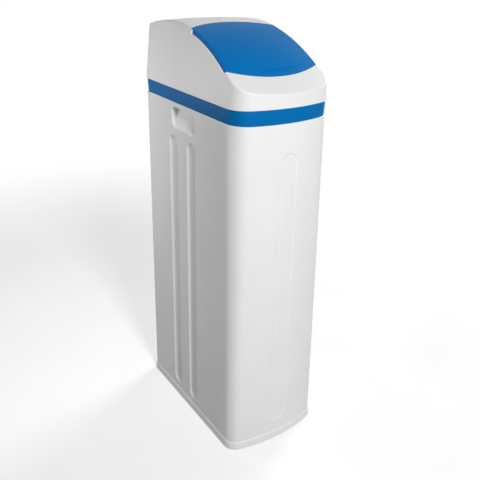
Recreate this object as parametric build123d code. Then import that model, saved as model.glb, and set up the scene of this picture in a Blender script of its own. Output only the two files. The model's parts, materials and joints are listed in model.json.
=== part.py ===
from build123d import *
import math
import os

# Cabinet water softener, in millimetres.
# +Z is up, the origin is on the floor under the middle of the cabinet, the front faces -Y
# and the left side faces -X. The valve, its tank and the pipe fittings stand at the rear.

# Cabinet body: outlines at the floor and at the top of the moulding
body_over_neck = 29.3
floor_width = 292.2
floor_depth = 487.4
top_width = 278.6
top_depth = 479.0
floor_bow_radius = 470.0
top_bow_radius = 369.0
floor_corner = 35.0
top_corner = 53.0
rear_corner = 16.0
least_corner = 2.0
cabinet_wall = 4.0
shoulder_round = 1.6

# Base skirt
skirt_height = 24.7
skirt_edge = 3.0
skirt_reach = 3.2
skirt_shoulder = 0.9

# Long side flutes, front flute and hand grips
flute_low = 44.0
flute_top_gap = 87.3
flute_width = 40.0
flute_depth = 7.0
flute_taper = 32
flute_pitch = 93.0
flute_centre_y = 34.5
front_flute_low = 62.0
front_flute_top_gap = 73.3
front_flute_width = 52.0
front_flute_depth = 1.8
grip_top_gap = 11.3
grip_height = 54.0
grip_width = 121.0
grip_y = 27.6
grip_corner = 15.0
grip_depth_low = 4.0
grip_depth_high = 18.0
grip_taper = 8

# Trim band and the collar of the body that carries it
band_inset = 1.8
band_height = 36.2
band_flare = 1.85
band_wall = 5.0
collar_gap = 0.3
collar_wall = 3.6
collar_rise = 12.0

# Hood: drafted sides under one domed top
hood_wall = 3.0
hood_overhang = 1.6
hood_block_height = 178.0
hood_side_draft_share = 0.105
hood_end_draft_share = 0.012
hood_edge_round = 5.0
hood_foot_round = 1.2
dome_y = 100.0
dome_drop = 297.5
dome_radius = 461.5
dome_slope_y = -150.0
dome_slope_length = 220.0
dome_rear_angle = 30
crown_radius = 2400.0
dome_margin = 12.5
groove_inset = 4.5
groove_width = 2.0
groove_depth = 1.3

# Salt lid, its pocket in the hood and its hinge
lid_front_inset = 46.0
lid_front_radius = 276.0
lid_rear_y = 46.0
lid_rear_radius = 245.0
lid_rear_lean = 13
lid_zone_reach = 260.0
lid_corner = 11.0
lid_rim_width = 3.2
lid_side_gap = 0.5
lid_end_gap = 1.0
lid_depth = 12.0
lid_wall = 2.5
lid_edge_round = 2.6
lid_seat_gap = 0.5
rim_drop = 9.0
rim_step_y = 2.0
ledge_side = 14.0
ledge_front = 12.0
hinge_y = -1.0
hinge_depth = 5.5
hinge_pin_radius = 1.5
hinge_pin_fit = 0.06
hinge_pin_length = 8.5
hinge_lug_inset = 27.5
hinge_lug_thickness = 4.5
hinge_lug_radius = 2.6
hinge_lug_front = 15.0
hinge_lug_rear = 0.6
hinge_lug_air = 0.5
hinge_relief = 9.0
hinge_rib_gap = 0.5
hinge_rib_thickness = 4.5
hinge_rib_radius = 4.2
scoop_radius = 300.0
scoop_tube = 11.0
scoop_depth = 2.2
scoop_from_edge = 19.0
scoop_lift_angle = 7

# Openings of the hood for the controls and for the pipes
hood_opening_gap = 1.0
pipe_gate_half = 80.0
pipe_gate_height = 64.5
pipe_gate_round = 10.0

# Control panel, set square to the dome
panel_behind = 57.0
panel_length = 116.0
panel_width = 60.0
panel_thickness = 3.0
panel_round = 6.0
panel_recess = 1.0
head_height = 24.0
head_wall = 2.5
head_screw_radius = 2.0
head_screw_length = 8.0
head_screw_spacing = 24.0
display_length = 72.0
display_width = 22.0
display_thickness = 2.0
display_shift = -13.0
display_fit = 0.1
display_cell_margin = 4.0
key_count = 4
key_pitch = 24.5
key_length = 15.0
key_width = 9.5
key_round = 2.0
key_fit = 0.3
key_shift = 11.0
key_proud = 1.2
key_flange = 1.5
key_flange_thickness = 1.2
key_flange_gap = 0.2
key_stem_radius = 2.5
key_stem_length = 2.8
switch_gap = 1.2
switch_size = 6.0
board_margin = 1.5
board_drop = 11.0
board_thickness = 1.6
post_radius = 3.5
post_inset = 7.0
jack_radius = 5.5
jack_bore = 2.8
jack_length = 12.0
jack_depth = 10.0
jack_x = 38.0
jack_drop = 19.0

# Resin tank and what stands in it
tank_rear_gap = 9.5
tank_radius = 103.0
tank_height = 889.0
tank_wall = 3.2
tank_dome = 60.0
tank_knuckle = 34.0
neck_height = 40.0
neck_radius = 42.0
neck_bore = 31.5
boot_wall = 5.0
boot_height = 76.0
boot_floor = 8.0
boot_gap = 0.3
resin_height = 560.0
resin_gap = 0.3
riser_radius = 13.3
riser_bore = 11.0
riser_insert = 26.0
strainer_radius = 26.0
strainer_height = 64.0
strainer_wall = 2.5
strainer_floor_gap = 0.4
strainer_slots = 12
strainer_slot_width = 2.0
top_strainer_radius = 29.5
top_strainer_height = 46.0
strainer_socket_gap = 0.1

# Control valve body
valve_spigot_radius = 31.2
valve_spigot_length = 28.0
valve_flange_radius = 48.0
valve_flange_thickness = 12.0
valve_trunk_radius = 38.0
seal_radius = 36.0
seal_tube = 2.0
seal_groove_width = 4.4
ports_rise = 102.0
port_x = 27.0
port_radius = 18.0
port_bore = 11.0
ports_reach = 89.0
passage_radius = 6.0
passage_x = 14.0
barrel_rise = 45.0
barrel_ahead = 61.0
barrel_behind = 52.0
barrel_radius = 31.0
barrel_bore = 23.0
barrel_end_wall = 10.0
barrel_fin_count = 5
barrel_fin_rise = 1.6
barrel_fin_width = 4.0
barrel_fin_pitch = 20.0
web_half = 26.0
web_inset = 3.0
pad_half = 18.0
pad_length = 22.0

# Piston, its seals and its screw drive
stack_fit = 0.1
stack_inner = 14.08
piston_radius = 14.0
piston_depth = 14.0
piston_length = 42.0
piston_waist = 9.0
piston_waist_length = 12.0
spacer_length = 14.0
spacer_bore = 17.0
lip_length = 4.0
lip_count = 5
stack_depth = 12.0
retainer_fit = 0.1
rod_radius = 6.5
rod_fit = 0.1
rod_bore = 3.7
rod_proud = 0.5
screw_radius = 3.5
screw_reach = 39.0
rod_bore_depth = 50.0

# Gear drive in front of the valve
gear_module = 1.2
addendum_share = 0.85
dedendum_share = 1.15
pressure_angle = 20
gear_backlash = 0.25
flank_steps = 3
main_teeth = 40
idler_small_teeth = 12
idler_large_teeth = 30
pinion_teeth = 12
idler_direction = -50
motor_direction = 0
main_gear_gap = 8.0
main_gear_width = 8.0
large_gear_step = 10.0
large_gear_width = 6.0
hub_radius = 8.0
hub_fit = 0.05
hub_gap = 1.5
journal_radius = 5.0
journal_gap = 4.0
bracket_thickness = 6.0
bracket_left = -34.0
bracket_right = 65.0
bracket_drop = 52.0
bracket_rise = 28.4
bracket_round = 8.0
idler_pin_radius = 2.0
idler_pin_gap = 3.0
idler_play = 0.4
motor_radius = 14.0
motor_length = 36.0
motor_cap_radius = 9.0
motor_cap_length = 3.0
shaft_radius = 1.5
shaft_fit = 0.05
shaft_depth = 8.0
cover_reach = 28.0
cover_wall = 2.5
cover_round = 1.5
cover_boss_wall = 3.0
screw_hole_inset = 6.0
cover_screw_radius = 1.7
cover_screw_head = 3.2
cover_screw_head_height = 2.0
cover_screw_length = 26.0
screw_pillar_radius = 4.0

# Side fittings of the valve
injector_ahead = 23.0
injector_radius = 16.0
injector_bore = 12.0
injector_reach = 56.0
injector_cap_radius = 19.0
injector_cap_thickness = 9.0
injector_nozzle_radius = 6.0
injector_nozzle_length = 17.0
drain_behind = 23.0
drain_radius = 12.0
drain_reach = 47.0
drain_elbow_radius = 9.0
drain_elbow_reach = 64.0
drain_bore = 4.5
drain_tail_behind = 83.0
barb_radius = 6.5
barb_rise = 1.2
barb_count = 4
barb_pitch = 5.0
brine_ahead = 23.0
brine_drop = 18.0
brine_boss_radius = 10.0
brine_reach = 48.0
brine_elbow_x = 62.0
brine_elbow_radius = 8.0
brine_nut_radius = 9.5
brine_nut_reach = 22.0
elbow_swell = 0.8
mixing_behind = 19.0
mixing_boss_radius = 9.0
mixing_reach = 52.0
mixing_knob_radius = 13.0
mixing_knob_length = 13.0
mixing_stem_radius = 4.0
mixing_stem_depth = 10.0
mixing_fit = 0.06
knob_rib_count = 12
knob_rib_radius = 1.2

# Flow meter in the outlet port
meter_depth = 26.0
cage_length = 18.0
cage_gap = 0.1
cage_wall = 1.2
cage_spider = 2.0
cage_hub_radius = 2.6
turbine_radius = 8.8
turbine_hub = 2.8
turbine_length = 9.0
blade_length = 8.0
turbine_shaft = 1.0
turbine_fit = 0.05
turbine_blades = 6
blade_thickness = 1.0
blade_pitch = 35

# Bypass behind the cabinet
nut_radius = 24.0
nut_overlap = 11.0
nut_length = 25.0
nut_fit = 0.3
nut_ribs = 16
nut_rib_radius = 1.6
port_seal_radius = 14.5
port_seal_tube = 1.5
bypass_reach = 63.0
bypass_chamber_radius = 21.0
bypass_chamber_half = 22.0
rotor_radius = 14.0
rotor_fit = 0.1
rotor_drop = 17.0
bypass_cross_radius = 12.0
bypass_bore = 11.0
bypass_tail = 47.0
thread_radius = 16.6
thread_root = 15.4
thread_length = 22.0
thread_ridges = 10
thread_ridge_width = 1.1
thread_collar_radius = 19.0
handle_radius = 17.0
handle_height = 9.0
lever_length = 25.0
lever_width = 9.0
lever_height = 17.0
lever_tip_width = 5.0
handle_lift = 0.6

# Brine well, its cap and the safety valve in it
well_wall_gap = 17.3
well_ahead = 148.0
well_radius = 42.0
well_wall = 3.0
well_drop = 95.3
well_slots = 8
well_slot_width = 4.0
well_slot_low = 14.0
well_slot_height = 60.0
cap_wall = 2.5
cap_gap = 0.4
cap_skirt = 16.0
cap_knob_radius = 12.0
cap_knob_height = 10.0
brine_tube_drop = 23.0
brine_tube_radius = 4.75
brine_tube_bore = 3.2
brine_turn_reach = 51.0
tube_bend = 24.0
tube_fit = 0.15
safety_drop = 45.0
safety_height = 38.0
safety_half_width = 9.0
safety_wall_gap = 0.1
riser_pipe_offset = 26.0
riser_pipe_radius = 6.0
riser_pipe_bore = 4.2
riser_pipe_low = 54.0
riser_socket = 12.0
float_rod_offset = 12.0
float_rod_radius = 2.5
float_rod_low = 285.0
float_rod_entry = 9.0
float_rod_fit = 0.1
float_travel = 25.0
float_radius = 22.0
float_low = 330.0
float_height = 52.0
float_round = 6.0
guide_z = 306.0
guide_thickness = 6.0
guide_radius = 9.0
guide_half_width = 5.0
grommet_radius = 6.0
grommet_height = 5.0
tube_nut_radius = 12.0
tube_nut_length = 9.0
tube_nut_gap = 0.4
boss_radius = 7.2
boss_gap = 0.2
boss_reach = 52.5
air_check_radius = 15.0
air_check_low = 10.0
air_check_high = 62.0
air_check_wall = 2.0
air_check_slots = 6
air_ball_radius = 9.0

# Salt platform
grid_z = 90.0
grid_thickness = 4.0
grid_side_gap = 14.5
grid_front_gap = 7.0
grid_tank_gap = 4.0
grid_well_gap = 1.0
grid_hole_radius = 3.2
grid_hole_pitch = 18.0
grid_edge = 8.0
grid_leg_radius = 11.0
grid_leg_wall = 2.0
grid_rear_ahead = 103.0
grid_leg_side_gap = 51.3
grid_leg_front_y = -165.0
grid_leg_rear_y = -95.0

# Overflow fitting in the rear wall
overflow_side_gap = 35.3
overflow_drop = 110.3
overflow_radius = 8.0
overflow_bore = 5.5
overflow_flange_radius = 15.0
overflow_flange = 3.0
overflow_reach = 34.0
overflow_inside = 16.0
overflow_nut_radius = 14.0
overflow_nut_thickness = 8.0
overflow_gap = 0.2

# One overrun serves every cut that has to pass a face
overrun = 2.0

# Worked out from the sizes above: the cabinet and hood
floor_z = cabinet_wall
tank_low = floor_z + boot_floor
neck_top = tank_low + tank_height
body_height = neck_top + body_over_neck
narrow_half = min(floor_width, top_width) / 2
band_width = top_width - 2 * band_inset
band_depth = top_depth - 2 * band_inset
band_low = body_height
hood_low = body_height + band_height
collar_top = hood_low + collar_rise
hood_ceiling = hood_low + hood_block_height
flute_high = body_height - flute_top_gap
front_flute_high = body_height - front_flute_top_gap
grip_high = body_height - grip_top_gap
grip_low = grip_high - grip_height
dome_z = hood_low - dome_drop
dome_half_length = band_width / 2 + dome_margin
slope_angle = math.asin((dome_y - dome_slope_y) / dome_radius)
deck_drop = lid_depth + lid_seat_gap
hinge_lug_inner_x = band_width / 2 - hinge_lug_inset
pipe_gate_top = hood_low + pipe_gate_height

# Worked out: the valve stands over the tank, and its ports and barrel give the rest their places
tank_y = min(floor_depth, top_depth) / 2 - cabinet_wall - tank_radius - tank_rear_gap
panel_y = tank_y + panel_behind
ports_z = neck_top + ports_rise
ports_end_y = tank_y + ports_reach
barrel_z = ports_z + barrel_rise
barrel_front_y = tank_y - barrel_ahead
barrel_rear_y = tank_y + barrel_behind
barrel_axis = (0, barrel_front_y, barrel_z)
piston_start_y = barrel_front_y + piston_depth
stack_start_y = barrel_front_y + stack_depth
rod_front_y = barrel_front_y - rod_proud
screw_tip_y = barrel_front_y + screw_reach
bore_depth_y = barrel_front_y + rod_bore_depth
main_gear_rear_y = barrel_front_y - main_gear_gap
large_gear_rear_y = main_gear_rear_y - large_gear_step
hub_rear_y = barrel_front_y - hub_gap
cover_front_y = barrel_front_y - cover_reach
journal_front_y = cover_front_y + journal_gap
idler_pin_front_y = cover_front_y + idler_pin_gap
bracket_low = barrel_z - bracket_drop
bracket_high = barrel_z + bracket_rise
idler_reach = gear_module * (main_teeth + idler_small_teeth) / 2
motor_reach = gear_module * (idler_large_teeth + pinion_teeth) / 2
idler_x = idler_reach * math.cos(math.radians(idler_direction))
idler_z = barrel_z + idler_reach * math.sin(math.radians(idler_direction))
motor_x = idler_x + motor_reach * math.cos(math.radians(motor_direction))
motor_z = idler_z + motor_reach * math.sin(math.radians(motor_direction))
injector_y = tank_y - injector_ahead
drain_y = tank_y + drain_behind
drain_end_y = tank_y + drain_tail_behind
brine_y = tank_y - brine_ahead
brine_z = ports_z - brine_drop
brine_nut_front_y = brine_y - brine_nut_reach
mixing_y = tank_y + mixing_behind
meter_y = ports_end_y - meter_depth
nut_front_y = ports_end_y - nut_overlap
nut_rear_y = nut_front_y + nut_length
bypass_y = ports_end_y + bypass_reach
bypass_end_y = bypass_y + bypass_tail
bypass_chamber_low = ports_z - bypass_chamber_half
bypass_chamber_high = ports_z + bypass_chamber_half
rotor_low = ports_z - rotor_drop

# Worked out: the brine side, the platform and the overflow
well_x = narrow_half - well_radius - well_wall_gap
well_y = tank_y - well_ahead
well_top = body_height - well_drop
brine_tube_z = well_top - brine_tube_drop
brine_turn_y = well_y + brine_turn_reach
boss_end_y = well_y + boss_reach
safety_low = well_top - safety_drop
safety_high = safety_low + safety_height
riser_pipe_x = well_x - riser_pipe_offset
float_rod_x = well_x + float_rod_offset
float_rod_top = safety_low + float_rod_entry
grid_rear_y = tank_y - grid_rear_ahead
grid_leg_x = narrow_half - grid_leg_side_gap
overflow_x = overflow_side_gap - narrow_half
overflow_z = body_height - overflow_drop

UP = (Align.CENTER, Align.CENTER, Align.MIN)
LOW_CORNER = (Align.MIN, Align.MIN, Align.MIN)
RIGHT, LEFT = (1, 0, 0), (-1, 0, 0)
BACK, FRONT = (0, 1, 0), (0, -1, 0)
TOP, DOWN = (0, 0, 1), (0, 0, -1)


def pin(start, direction, radius, length):
    """Round bar from a start point along a direction."""
    return Plane(origin=start, z_dir=direction) * Cylinder(radius, length, align=UP)


def ring(start, direction, outer, inner, length):
    """Round tube from a start point along a direction."""
    hole = Pos(0, 0, -overrun) * Cylinder(inner, length + 2 * overrun, align=UP)
    return Plane(origin=start, z_dir=direction) * (Cylinder(outer, length, align=UP) - hole)


def block(low, high):
    """Box between two opposite corners."""
    size = [top - bottom for bottom, top in zip(low, high)]
    return Pos(*low) * Box(*size, align=LOW_CORNER)


def torus_at(centre, direction, radius, tube):
    """Round seal about an axis."""
    return Plane(origin=centre, z_dir=direction) * Torus(radius, tube)


def around(count, make):
    """Copies of a shape turned evenly about Z."""
    return [Rot(0, 0, 360 * number / count) * make for number in range(count)]


# Outlines and forms of the cabinet

def outline(width, depth, bow_radius, corner, rear):
    """Plan of the cabinet: flat sides and back, bowed front, rounded corners."""
    half, back = width / 2, depth / 2
    shoulder = bow_radius - back - math.sqrt(bow_radius ** 2 - half ** 2)
    sides = Polyline((half, shoulder), (half, back), (-half, back), (-half, shoulder))
    bow = ThreePointArc((-half, shoulder), (0, -back), (half, shoulder))
    face = make_face([sides, bow])
    face = fillet(face.vertices().sort_by(Axis.Y)[:2], max(corner, least_corner))
    return fillet(face.vertices().sort_by(Axis.Y)[-2:], max(rear, least_corner))


def body_section(z, inset):
    """Plan of the body at one height, drawn in by an inset."""
    share = z / body_height
    width, depth, bow_radius, corner = [
        low + (high - low) * share
        for low, high in (
            (floor_width, top_width),
            (floor_depth, top_depth),
            (floor_bow_radius, top_bow_radius),
            (floor_corner, top_corner),
        )
    ]
    plan = outline(
        width - 2 * inset, depth - 2 * inset, bow_radius - inset, corner - inset, rear_corner - inset
    )
    return Pos(0, 0, z) * plan


def body_form(low, high, inset):
    """Solid of the body between two heights."""
    return loft([body_section(low, inset), body_section(high, inset)], ruled=True)


def rim_section(z, inset):
    """Plan of the band, drawn in by an inset."""
    plan = outline(
        band_width - 2 * inset,
        band_depth - 2 * inset,
        top_bow_radius - inset,
        top_corner - inset,
        rear_corner - inset,
    )
    return Pos(0, 0, z) * plan


def rim_form(low, high, inset_low, inset_high):
    """Solid between two plans of the band."""
    return loft([rim_section(low, inset_low), rim_section(high, inset_high)], ruled=True)


def hood_half(z, inset):
    """Half the hood's width at one height."""
    widest = band_width / 2 + band_flare + hood_overhang
    return widest - hood_side_draft_share * (z - hood_low) - inset


def hood_section(z, inset):
    """Plan of the hood's drafted block at one height."""
    half_depth = band_depth / 2 + band_flare + hood_overhang
    half_depth -= hood_end_draft_share * (z - hood_low) + inset
    plan = outline(
        2 * hood_half(z, inset), 2 * half_depth, top_bow_radius - inset, top_corner - inset, rear_corner - inset
    )
    return Pos(0, 0, z) * plan


def hood_form(inset, low=hood_low):
    """Drafted block of the hood, before the dome cuts its top."""
    return loft([hood_section(low, inset), hood_section(hood_ceiling, inset)], ruled=True)


def dome_height(y, drop):
    """Height of the domed surface over the middle of the hood."""
    radius = dome_radius - drop
    ahead = dome_y - y - radius * math.sin(slope_angle)
    if ahead > 0:
        return dome_z + radius * math.cos(slope_angle) - ahead * math.tan(slope_angle)
    return dome_z + math.sqrt(radius ** 2 - (y - dome_y) ** 2)


def dome(drop):
    """Solid under the top surface, lowered by a drop.

    A crowned line is turned about a level axis, and runs on straight over the front slope.
    """
    radius, crown = dome_radius - drop, crown_radius - drop
    edge = radius - crown + math.sqrt(crown ** 2 - dome_half_length ** 2)
    ends = Polyline(
        (-dome_half_length, edge), (-dome_half_length, 0), (dome_half_length, 0), (dome_half_length, edge)
    )
    arc = ThreePointArc((-dome_half_length, edge), (0, radius), (dome_half_length, edge))
    lean = math.degrees(slope_angle)
    face = Rot(90 + lean, 0, 0) * make_face([ends, arc])
    ahead = (0, -math.cos(slope_angle), -math.sin(slope_angle))
    slope = extrude(face, amount=dome_slope_length, dir=ahead)
    turned = revolve(face, axis=Axis((0, 0, 0), LEFT), revolution_arc=lean + dome_rear_angle)
    return Pos(0, dome_y, dome_z) * (turned + slope)


def dome_edges(solid, drop):
    """Edges that lie on the top surface."""
    found = []
    crown = crown_radius - drop
    for edge in solid.edges():
        place = edge @ 0.5
        back, rise = place.Y - dome_y, place.Z - dome_z
        sag = crown - math.sqrt(crown ** 2 - place.X ** 2)
        ahead = -back * math.cos(slope_angle) - rise * math.sin(slope_angle)
        reach = rise * math.cos(slope_angle) - back * math.sin(slope_angle) if ahead > 0 else math.hypot(back, rise)
        on_surface = abs(reach + sag - dome_radius + drop) < lid_side_gap
        if on_surface and abs(ahead) > lid_side_gap:
            found.append(edge)
    return found


def lid_zone(gap):
    """Lens between the lid's bowed front and rear edges.

    The front is square to the slope and the rear leans back, so that the lid can turn out of it.
    """
    along = (0, math.cos(slope_angle), math.sin(slope_angle))
    square = (0, -math.sin(slope_angle), math.cos(slope_angle))
    front_y = lid_front_inset - band_depth / 2
    front_z = dome_height(front_y, 0)
    centre = [
        start + lid_front_radius * way - lid_zone_reach * up
        for start, way, up in zip((0, front_y, front_z), along, square)
    ]
    front = pin(tuple(centre), square, lid_front_radius - gap, 2 * lid_zone_reach)
    lean = math.radians(lid_rear_lean)
    upright = (0, -math.sin(lean), math.cos(lean))
    rear_y, rear_z = lid_rear_y - lid_rear_radius / math.cos(lean), dome_height(lid_rear_y, 0)
    low = [start - lid_zone_reach * up for start, up in zip((0, rear_y, rear_z), upright)]
    rear = pin(tuple(low), upright, lid_rear_radius - gap, 2 * lid_zone_reach)
    return front & rear


def lid_form(inset, gap, corner):
    """Plan form of the lid with its rounded rear corners, as a tall drafted block."""
    solid = hood_form(inset) & lid_zone(gap)
    uprights = [
        edge for edge in solid.edges()
        if edge.bounding_box().size.Z > hood_block_height / 2 and (edge @ 0.5).Y > hinge_y
    ]
    return fillet(uprights, corner)


# Cabinet

def wall_plane(side, y, z):
    """Plane on a side wall, looking inwards, with its first axis along Y."""
    lean = (floor_width - top_width) / 2 / body_height
    half = floor_width / 2 - lean * z
    return Plane(origin=(side * half, y, z), x_dir=BACK, z_dir=(-side, 0, -lean))


def side_flute(side, y, grow):
    """Long round-ended flute of a side wall, or its thicker backing when it grows."""
    middle = (flute_low + flute_high) / 2
    slot = SlotOverall(flute_high - flute_low + 2 * grow, flute_width + 2 * grow, rotation=90)
    sunk = extrude(slot, amount=flute_depth + grow, taper=flute_taper)
    if grow == 0:
        sunk += extrude(slot, amount=-overrun)
    else:
        sunk = sunk & Pos(0, 0, cabinet_wall / 2) * Box(
            body_height * 2, body_height * 2, flute_depth * 2 + grow * 2, align=UP
        )
    return wall_plane(side, y, middle) * sunk


def grip(side, grow):
    """Hand grip recess that deepens towards its upper lip, or its backing when it grows."""
    low, high = grip_low - grow, grip_high + grow
    lean = (floor_width - top_width) / 2 / body_height
    outer = -cabinet_wall / 2 if grow else overrun
    low_half, high_half = [floor_width / 2 - lean * z for z in (low, high)]
    profile = Polyline(
        (side * (low_half + outer), low),
        (side * (high_half + outer), high),
        (side * (high_half - grip_depth_high - grow), high),
        (side * (low_half - grip_depth_low - grow), low),
        close=True,
    )
    wedge = Pos(0, grip_y, 0) * extrude(
        Plane.XZ * make_face(profile), amount=grip_width / 2 + grow + overrun, both=True
    )
    face = RectangleRounded(grip_width + 2 * grow, high - low, grip_corner + grow)
    sunk = extrude(face, amount=grip_depth_high + 2 * grow, taper=grip_taper) + extrude(face, amount=-2 * overrun)
    return wedge & (wall_plane(side, grip_y, (grip_low + grip_high) / 2) * sunk)


def front_flute():
    """Shallow round-ended flute down the bowed front, one depth all over."""
    middle = (front_flute_low + front_flute_high) / 2
    slot = SlotOverall(front_flute_high - front_flute_low, front_flute_width, rotation=90)
    prism = extrude(Plane.XZ.offset(top_depth / 4) * Pos(0, middle) * slot, amount=floor_depth / 2)
    return prism - body_form(0, body_height, front_flute_depth)


def cabinet_body():
    outer = body_form(0, body_height, 0)
    outer = fillet(outer.edges().group_by(Axis.Z)[-1], shoulder_round)
    foot = loft([body_section(0, skirt_edge - skirt_reach), body_section(skirt_edge, -skirt_reach)], ruled=True)
    slope = loft(
        [body_section(skirt_edge, -skirt_reach), body_section(skirt_height, -skirt_shoulder)], ruled=True
    )
    collar_inset = band_wall + collar_gap
    shelf = body_height - cabinet_wall
    collar = rim_form(shelf, collar_top, collar_inset, collar_inset)
    solid = outer + foot + slope + collar
    solid -= body_form(floor_z, shelf, cabinet_wall)
    mouth = collar_inset + collar_wall
    solid -= rim_form(shelf - overrun, collar_top + overrun, mouth, mouth)
    for side in (-1, 1):
        flute_places = [flute_centre_y + half * flute_pitch / 2 for half in (-1, 1)]
        for y in flute_places:
            solid += side_flute(side, y, cabinet_wall)
        solid += grip(side, cabinet_wall)
        for y in flute_places:
            solid -= side_flute(side, y, 0)
        solid -= grip(side, 0)
    solid -= front_flute()
    solid -= pin((overflow_x, 0, overflow_z), BACK, overflow_radius + overflow_gap, floor_depth)
    return solid


def trim_band():
    outer = rim_form(band_low, hood_low, 0, -band_flare)
    return outer - rim_form(band_low - overrun, hood_low + overrun, band_wall, band_wall)


def salt_grid():
    """Holed platform that keeps the salt above the brine, on four hollow legs."""
    plate = body_form(grid_z, grid_z + grid_thickness, grid_front_gap)
    half = floor_width / 2 - grid_side_gap
    base, top = grid_z - overrun, grid_z + grid_thickness + overrun
    plate = plate & block((-half, -floor_depth / 2, base), (half, grid_rear_y, top))
    plate -= pin((0, tank_y, base), TOP, tank_radius + boot_wall + grid_tank_gap, top - base)
    plate -= pin((well_x, well_y, base), TOP, well_radius + grid_well_gap, top - base)
    columns = int((half - grid_edge) // grid_hole_pitch)
    rows = int((floor_depth / 2 + grid_rear_y) // grid_hole_pitch)
    legs = [(side * grid_leg_x, y) for side in (-1, 1) for y in (grid_leg_front_y, grid_leg_rear_y)]
    keep = body_form(grid_z, grid_z + grid_thickness, grid_front_gap + grid_edge)
    holes = []
    for column in range(-columns, columns + 1):
        for row in range(1, rows):
            x, y = column * grid_hole_pitch, grid_rear_y - row * grid_hole_pitch
            clear_of_tank = math.hypot(x, y - tank_y) > tank_radius + boot_wall + grid_tank_gap + grid_edge
            clear_of_well = math.hypot(x - well_x, y - well_y) > well_radius + grid_well_gap + grid_edge
            clear_of_legs = all(math.hypot(x - a, y - b) > grid_leg_radius + grid_hole_radius for a, b in legs)
            inside = keep.is_inside((x, y, grid_z + grid_thickness / 2))
            if clear_of_tank and clear_of_well and clear_of_legs and inside:
                holes.append(pin((x, y, base), TOP, grid_hole_radius, top - base))
    plate -= holes
    for x, y in legs:
        plate += ring((x, y, floor_z), TOP, grid_leg_radius, grid_leg_radius - grid_leg_wall, grid_z - floor_z)
    return plate


# Hood and lid

def control_plane():
    """Plane of the control panel, square to the dome and sunk a little."""
    tilt = math.asin((panel_y - dome_y) / dome_radius)
    normal = (0, math.sin(tilt), math.cos(tilt))
    z = dome_height(panel_y, panel_recess)
    return Plane(origin=(0, panel_y, z), x_dir=RIGHT, z_dir=normal)


def hinge_axis_z():
    """Height of the lid's hinge line, a set depth under the dome."""
    sag = crown_radius - math.sqrt(crown_radius ** 2 - hinge_lug_inner_x ** 2)
    return dome_height(hinge_y, hinge_depth + sag)


def hinge_lug(side):
    """Upright lug on the deck with its moulded hinge pin."""
    inner, outer = hinge_lug_inner_x, hinge_lug_inner_x + hinge_lug_thickness
    low, high = sorted((side * inner, side * outer))
    z = hinge_axis_z()
    arm = block(
        (low, hinge_y - hinge_lug_front, z - lid_depth), (high, hinge_y - hinge_lug_rear, z + hinge_depth)
    )
    arm = arm & dome(lid_wall + hinge_lug_air)
    arm += pin((side * inner, hinge_y, z), (side, 0, 0), hinge_lug_radius, hinge_lug_thickness)
    return arm + pin((side * inner, hinge_y, z), (side, 0, 0), hinge_pin_radius, hinge_pin_length)


def hood():
    outer = hood_form(0) & dome(0)
    outer = fillet(dome_edges(outer, 0), hood_edge_round)
    outer = fillet(outer.edges().group_by(Axis.Z)[0], hood_foot_round)
    pocket = lid_form(lid_rim_width, 0, lid_corner) - dome(deck_drop)
    rims = lid_zone(0) & block(
        (-band_width, -band_depth, hood_low), (band_width, rim_step_y, hood_ceiling)
    )
    rims -= dome(rim_drop)
    inner = hood_form(hood_wall, hood_low - overrun)
    cavity = (inner & dome(deck_drop + hood_wall)) + ((inner & dome(hood_wall)) - lid_zone(-hood_wall))
    solid = outer - pocket - rims - cavity
    solid -= salt_mouth()
    for side in (-1, 1):
        solid += hinge_lug(side)
    gate = extrude(
        Plane.XZ.offset(-band_depth / 2 - hood_overhang - 2 * overrun)
        * Pos(0, pipe_gate_top - pipe_gate_half)
        * RectangleRounded(2 * pipe_gate_half, 2 * pipe_gate_half, pipe_gate_round),
        amount=2 * hood_wall + 4 * overrun,
    )
    solid -= gate
    solid -= control_opening()
    solid -= hood_groove()
    return solid


def salt_mouth():
    """Opening of the deck that salt is poured through; it is full width behind the hinge."""
    base, top = hood_low, hood_ceiling
    front = lid_form(lid_rim_width + ledge_side, ledge_front, lid_corner)
    front = front & block((-band_width, -band_depth, base), (band_width, hinge_y, top))
    rear = lid_form(lid_rim_width, 0, lid_corner)
    rear = rear & block((-band_width, hinge_y - hinge_relief, base), (band_width, lid_rear_y + overrun, top))
    return front + rear


def control_opening():
    """Upright opening round the control panel, so that the hood lifts clear of it."""
    half_length = panel_length / 2 + hood_opening_gap
    half_width = panel_width / 2 + hood_opening_gap
    return block((-half_length, panel_y - half_width, barrel_z), (half_length, panel_y + half_width, hood_ceiling))


def hood_groove():
    """Fine groove that follows the top edge behind the lid."""
    skin = dome(-overrun) - dome(groove_depth)
    track = hood_form(groove_inset) - hood_form(groove_inset + groove_width)
    behind = block((-band_width, rim_step_y + lid_corner, hood_low), (band_width, band_depth, hood_ceiling))
    return skin & track & behind


def salt_lid():
    side_inset = lid_rim_width + lid_side_gap
    outer = (lid_form(side_inset, lid_end_gap, lid_corner) & dome(0)) - dome(lid_depth)
    outer = fillet(dome_edges(outer, 0), lid_edge_round)
    hollow = lid_form(side_inset + lid_wall, lid_end_gap + lid_wall, lid_corner - lid_wall) & dome(lid_wall)
    solid = outer - hollow
    z = hinge_axis_z()
    start = hinge_lug_inner_x + hinge_lug_thickness + hinge_rib_gap
    for side in (-1, 1):
        place = (side * start, hinge_y, z)
        rib = pin(place, (side, 0, 0), hinge_rib_radius, hinge_rib_thickness)
        low, high = sorted((side * start, side * (start + hinge_rib_thickness)))
        rib += block((low, hinge_y - hinge_rib_radius, z), (high, hinge_y + hinge_rib_radius, z + hinge_depth))
        solid += rib & dome(lid_wall / 2)
        solid -= pin(
            (side * (start - overrun), hinge_y, z), (side, 0, 0), hinge_pin_radius + hinge_pin_fit,
            hinge_rib_thickness + overrun,
        )
    return solid - finger_scoop()


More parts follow.
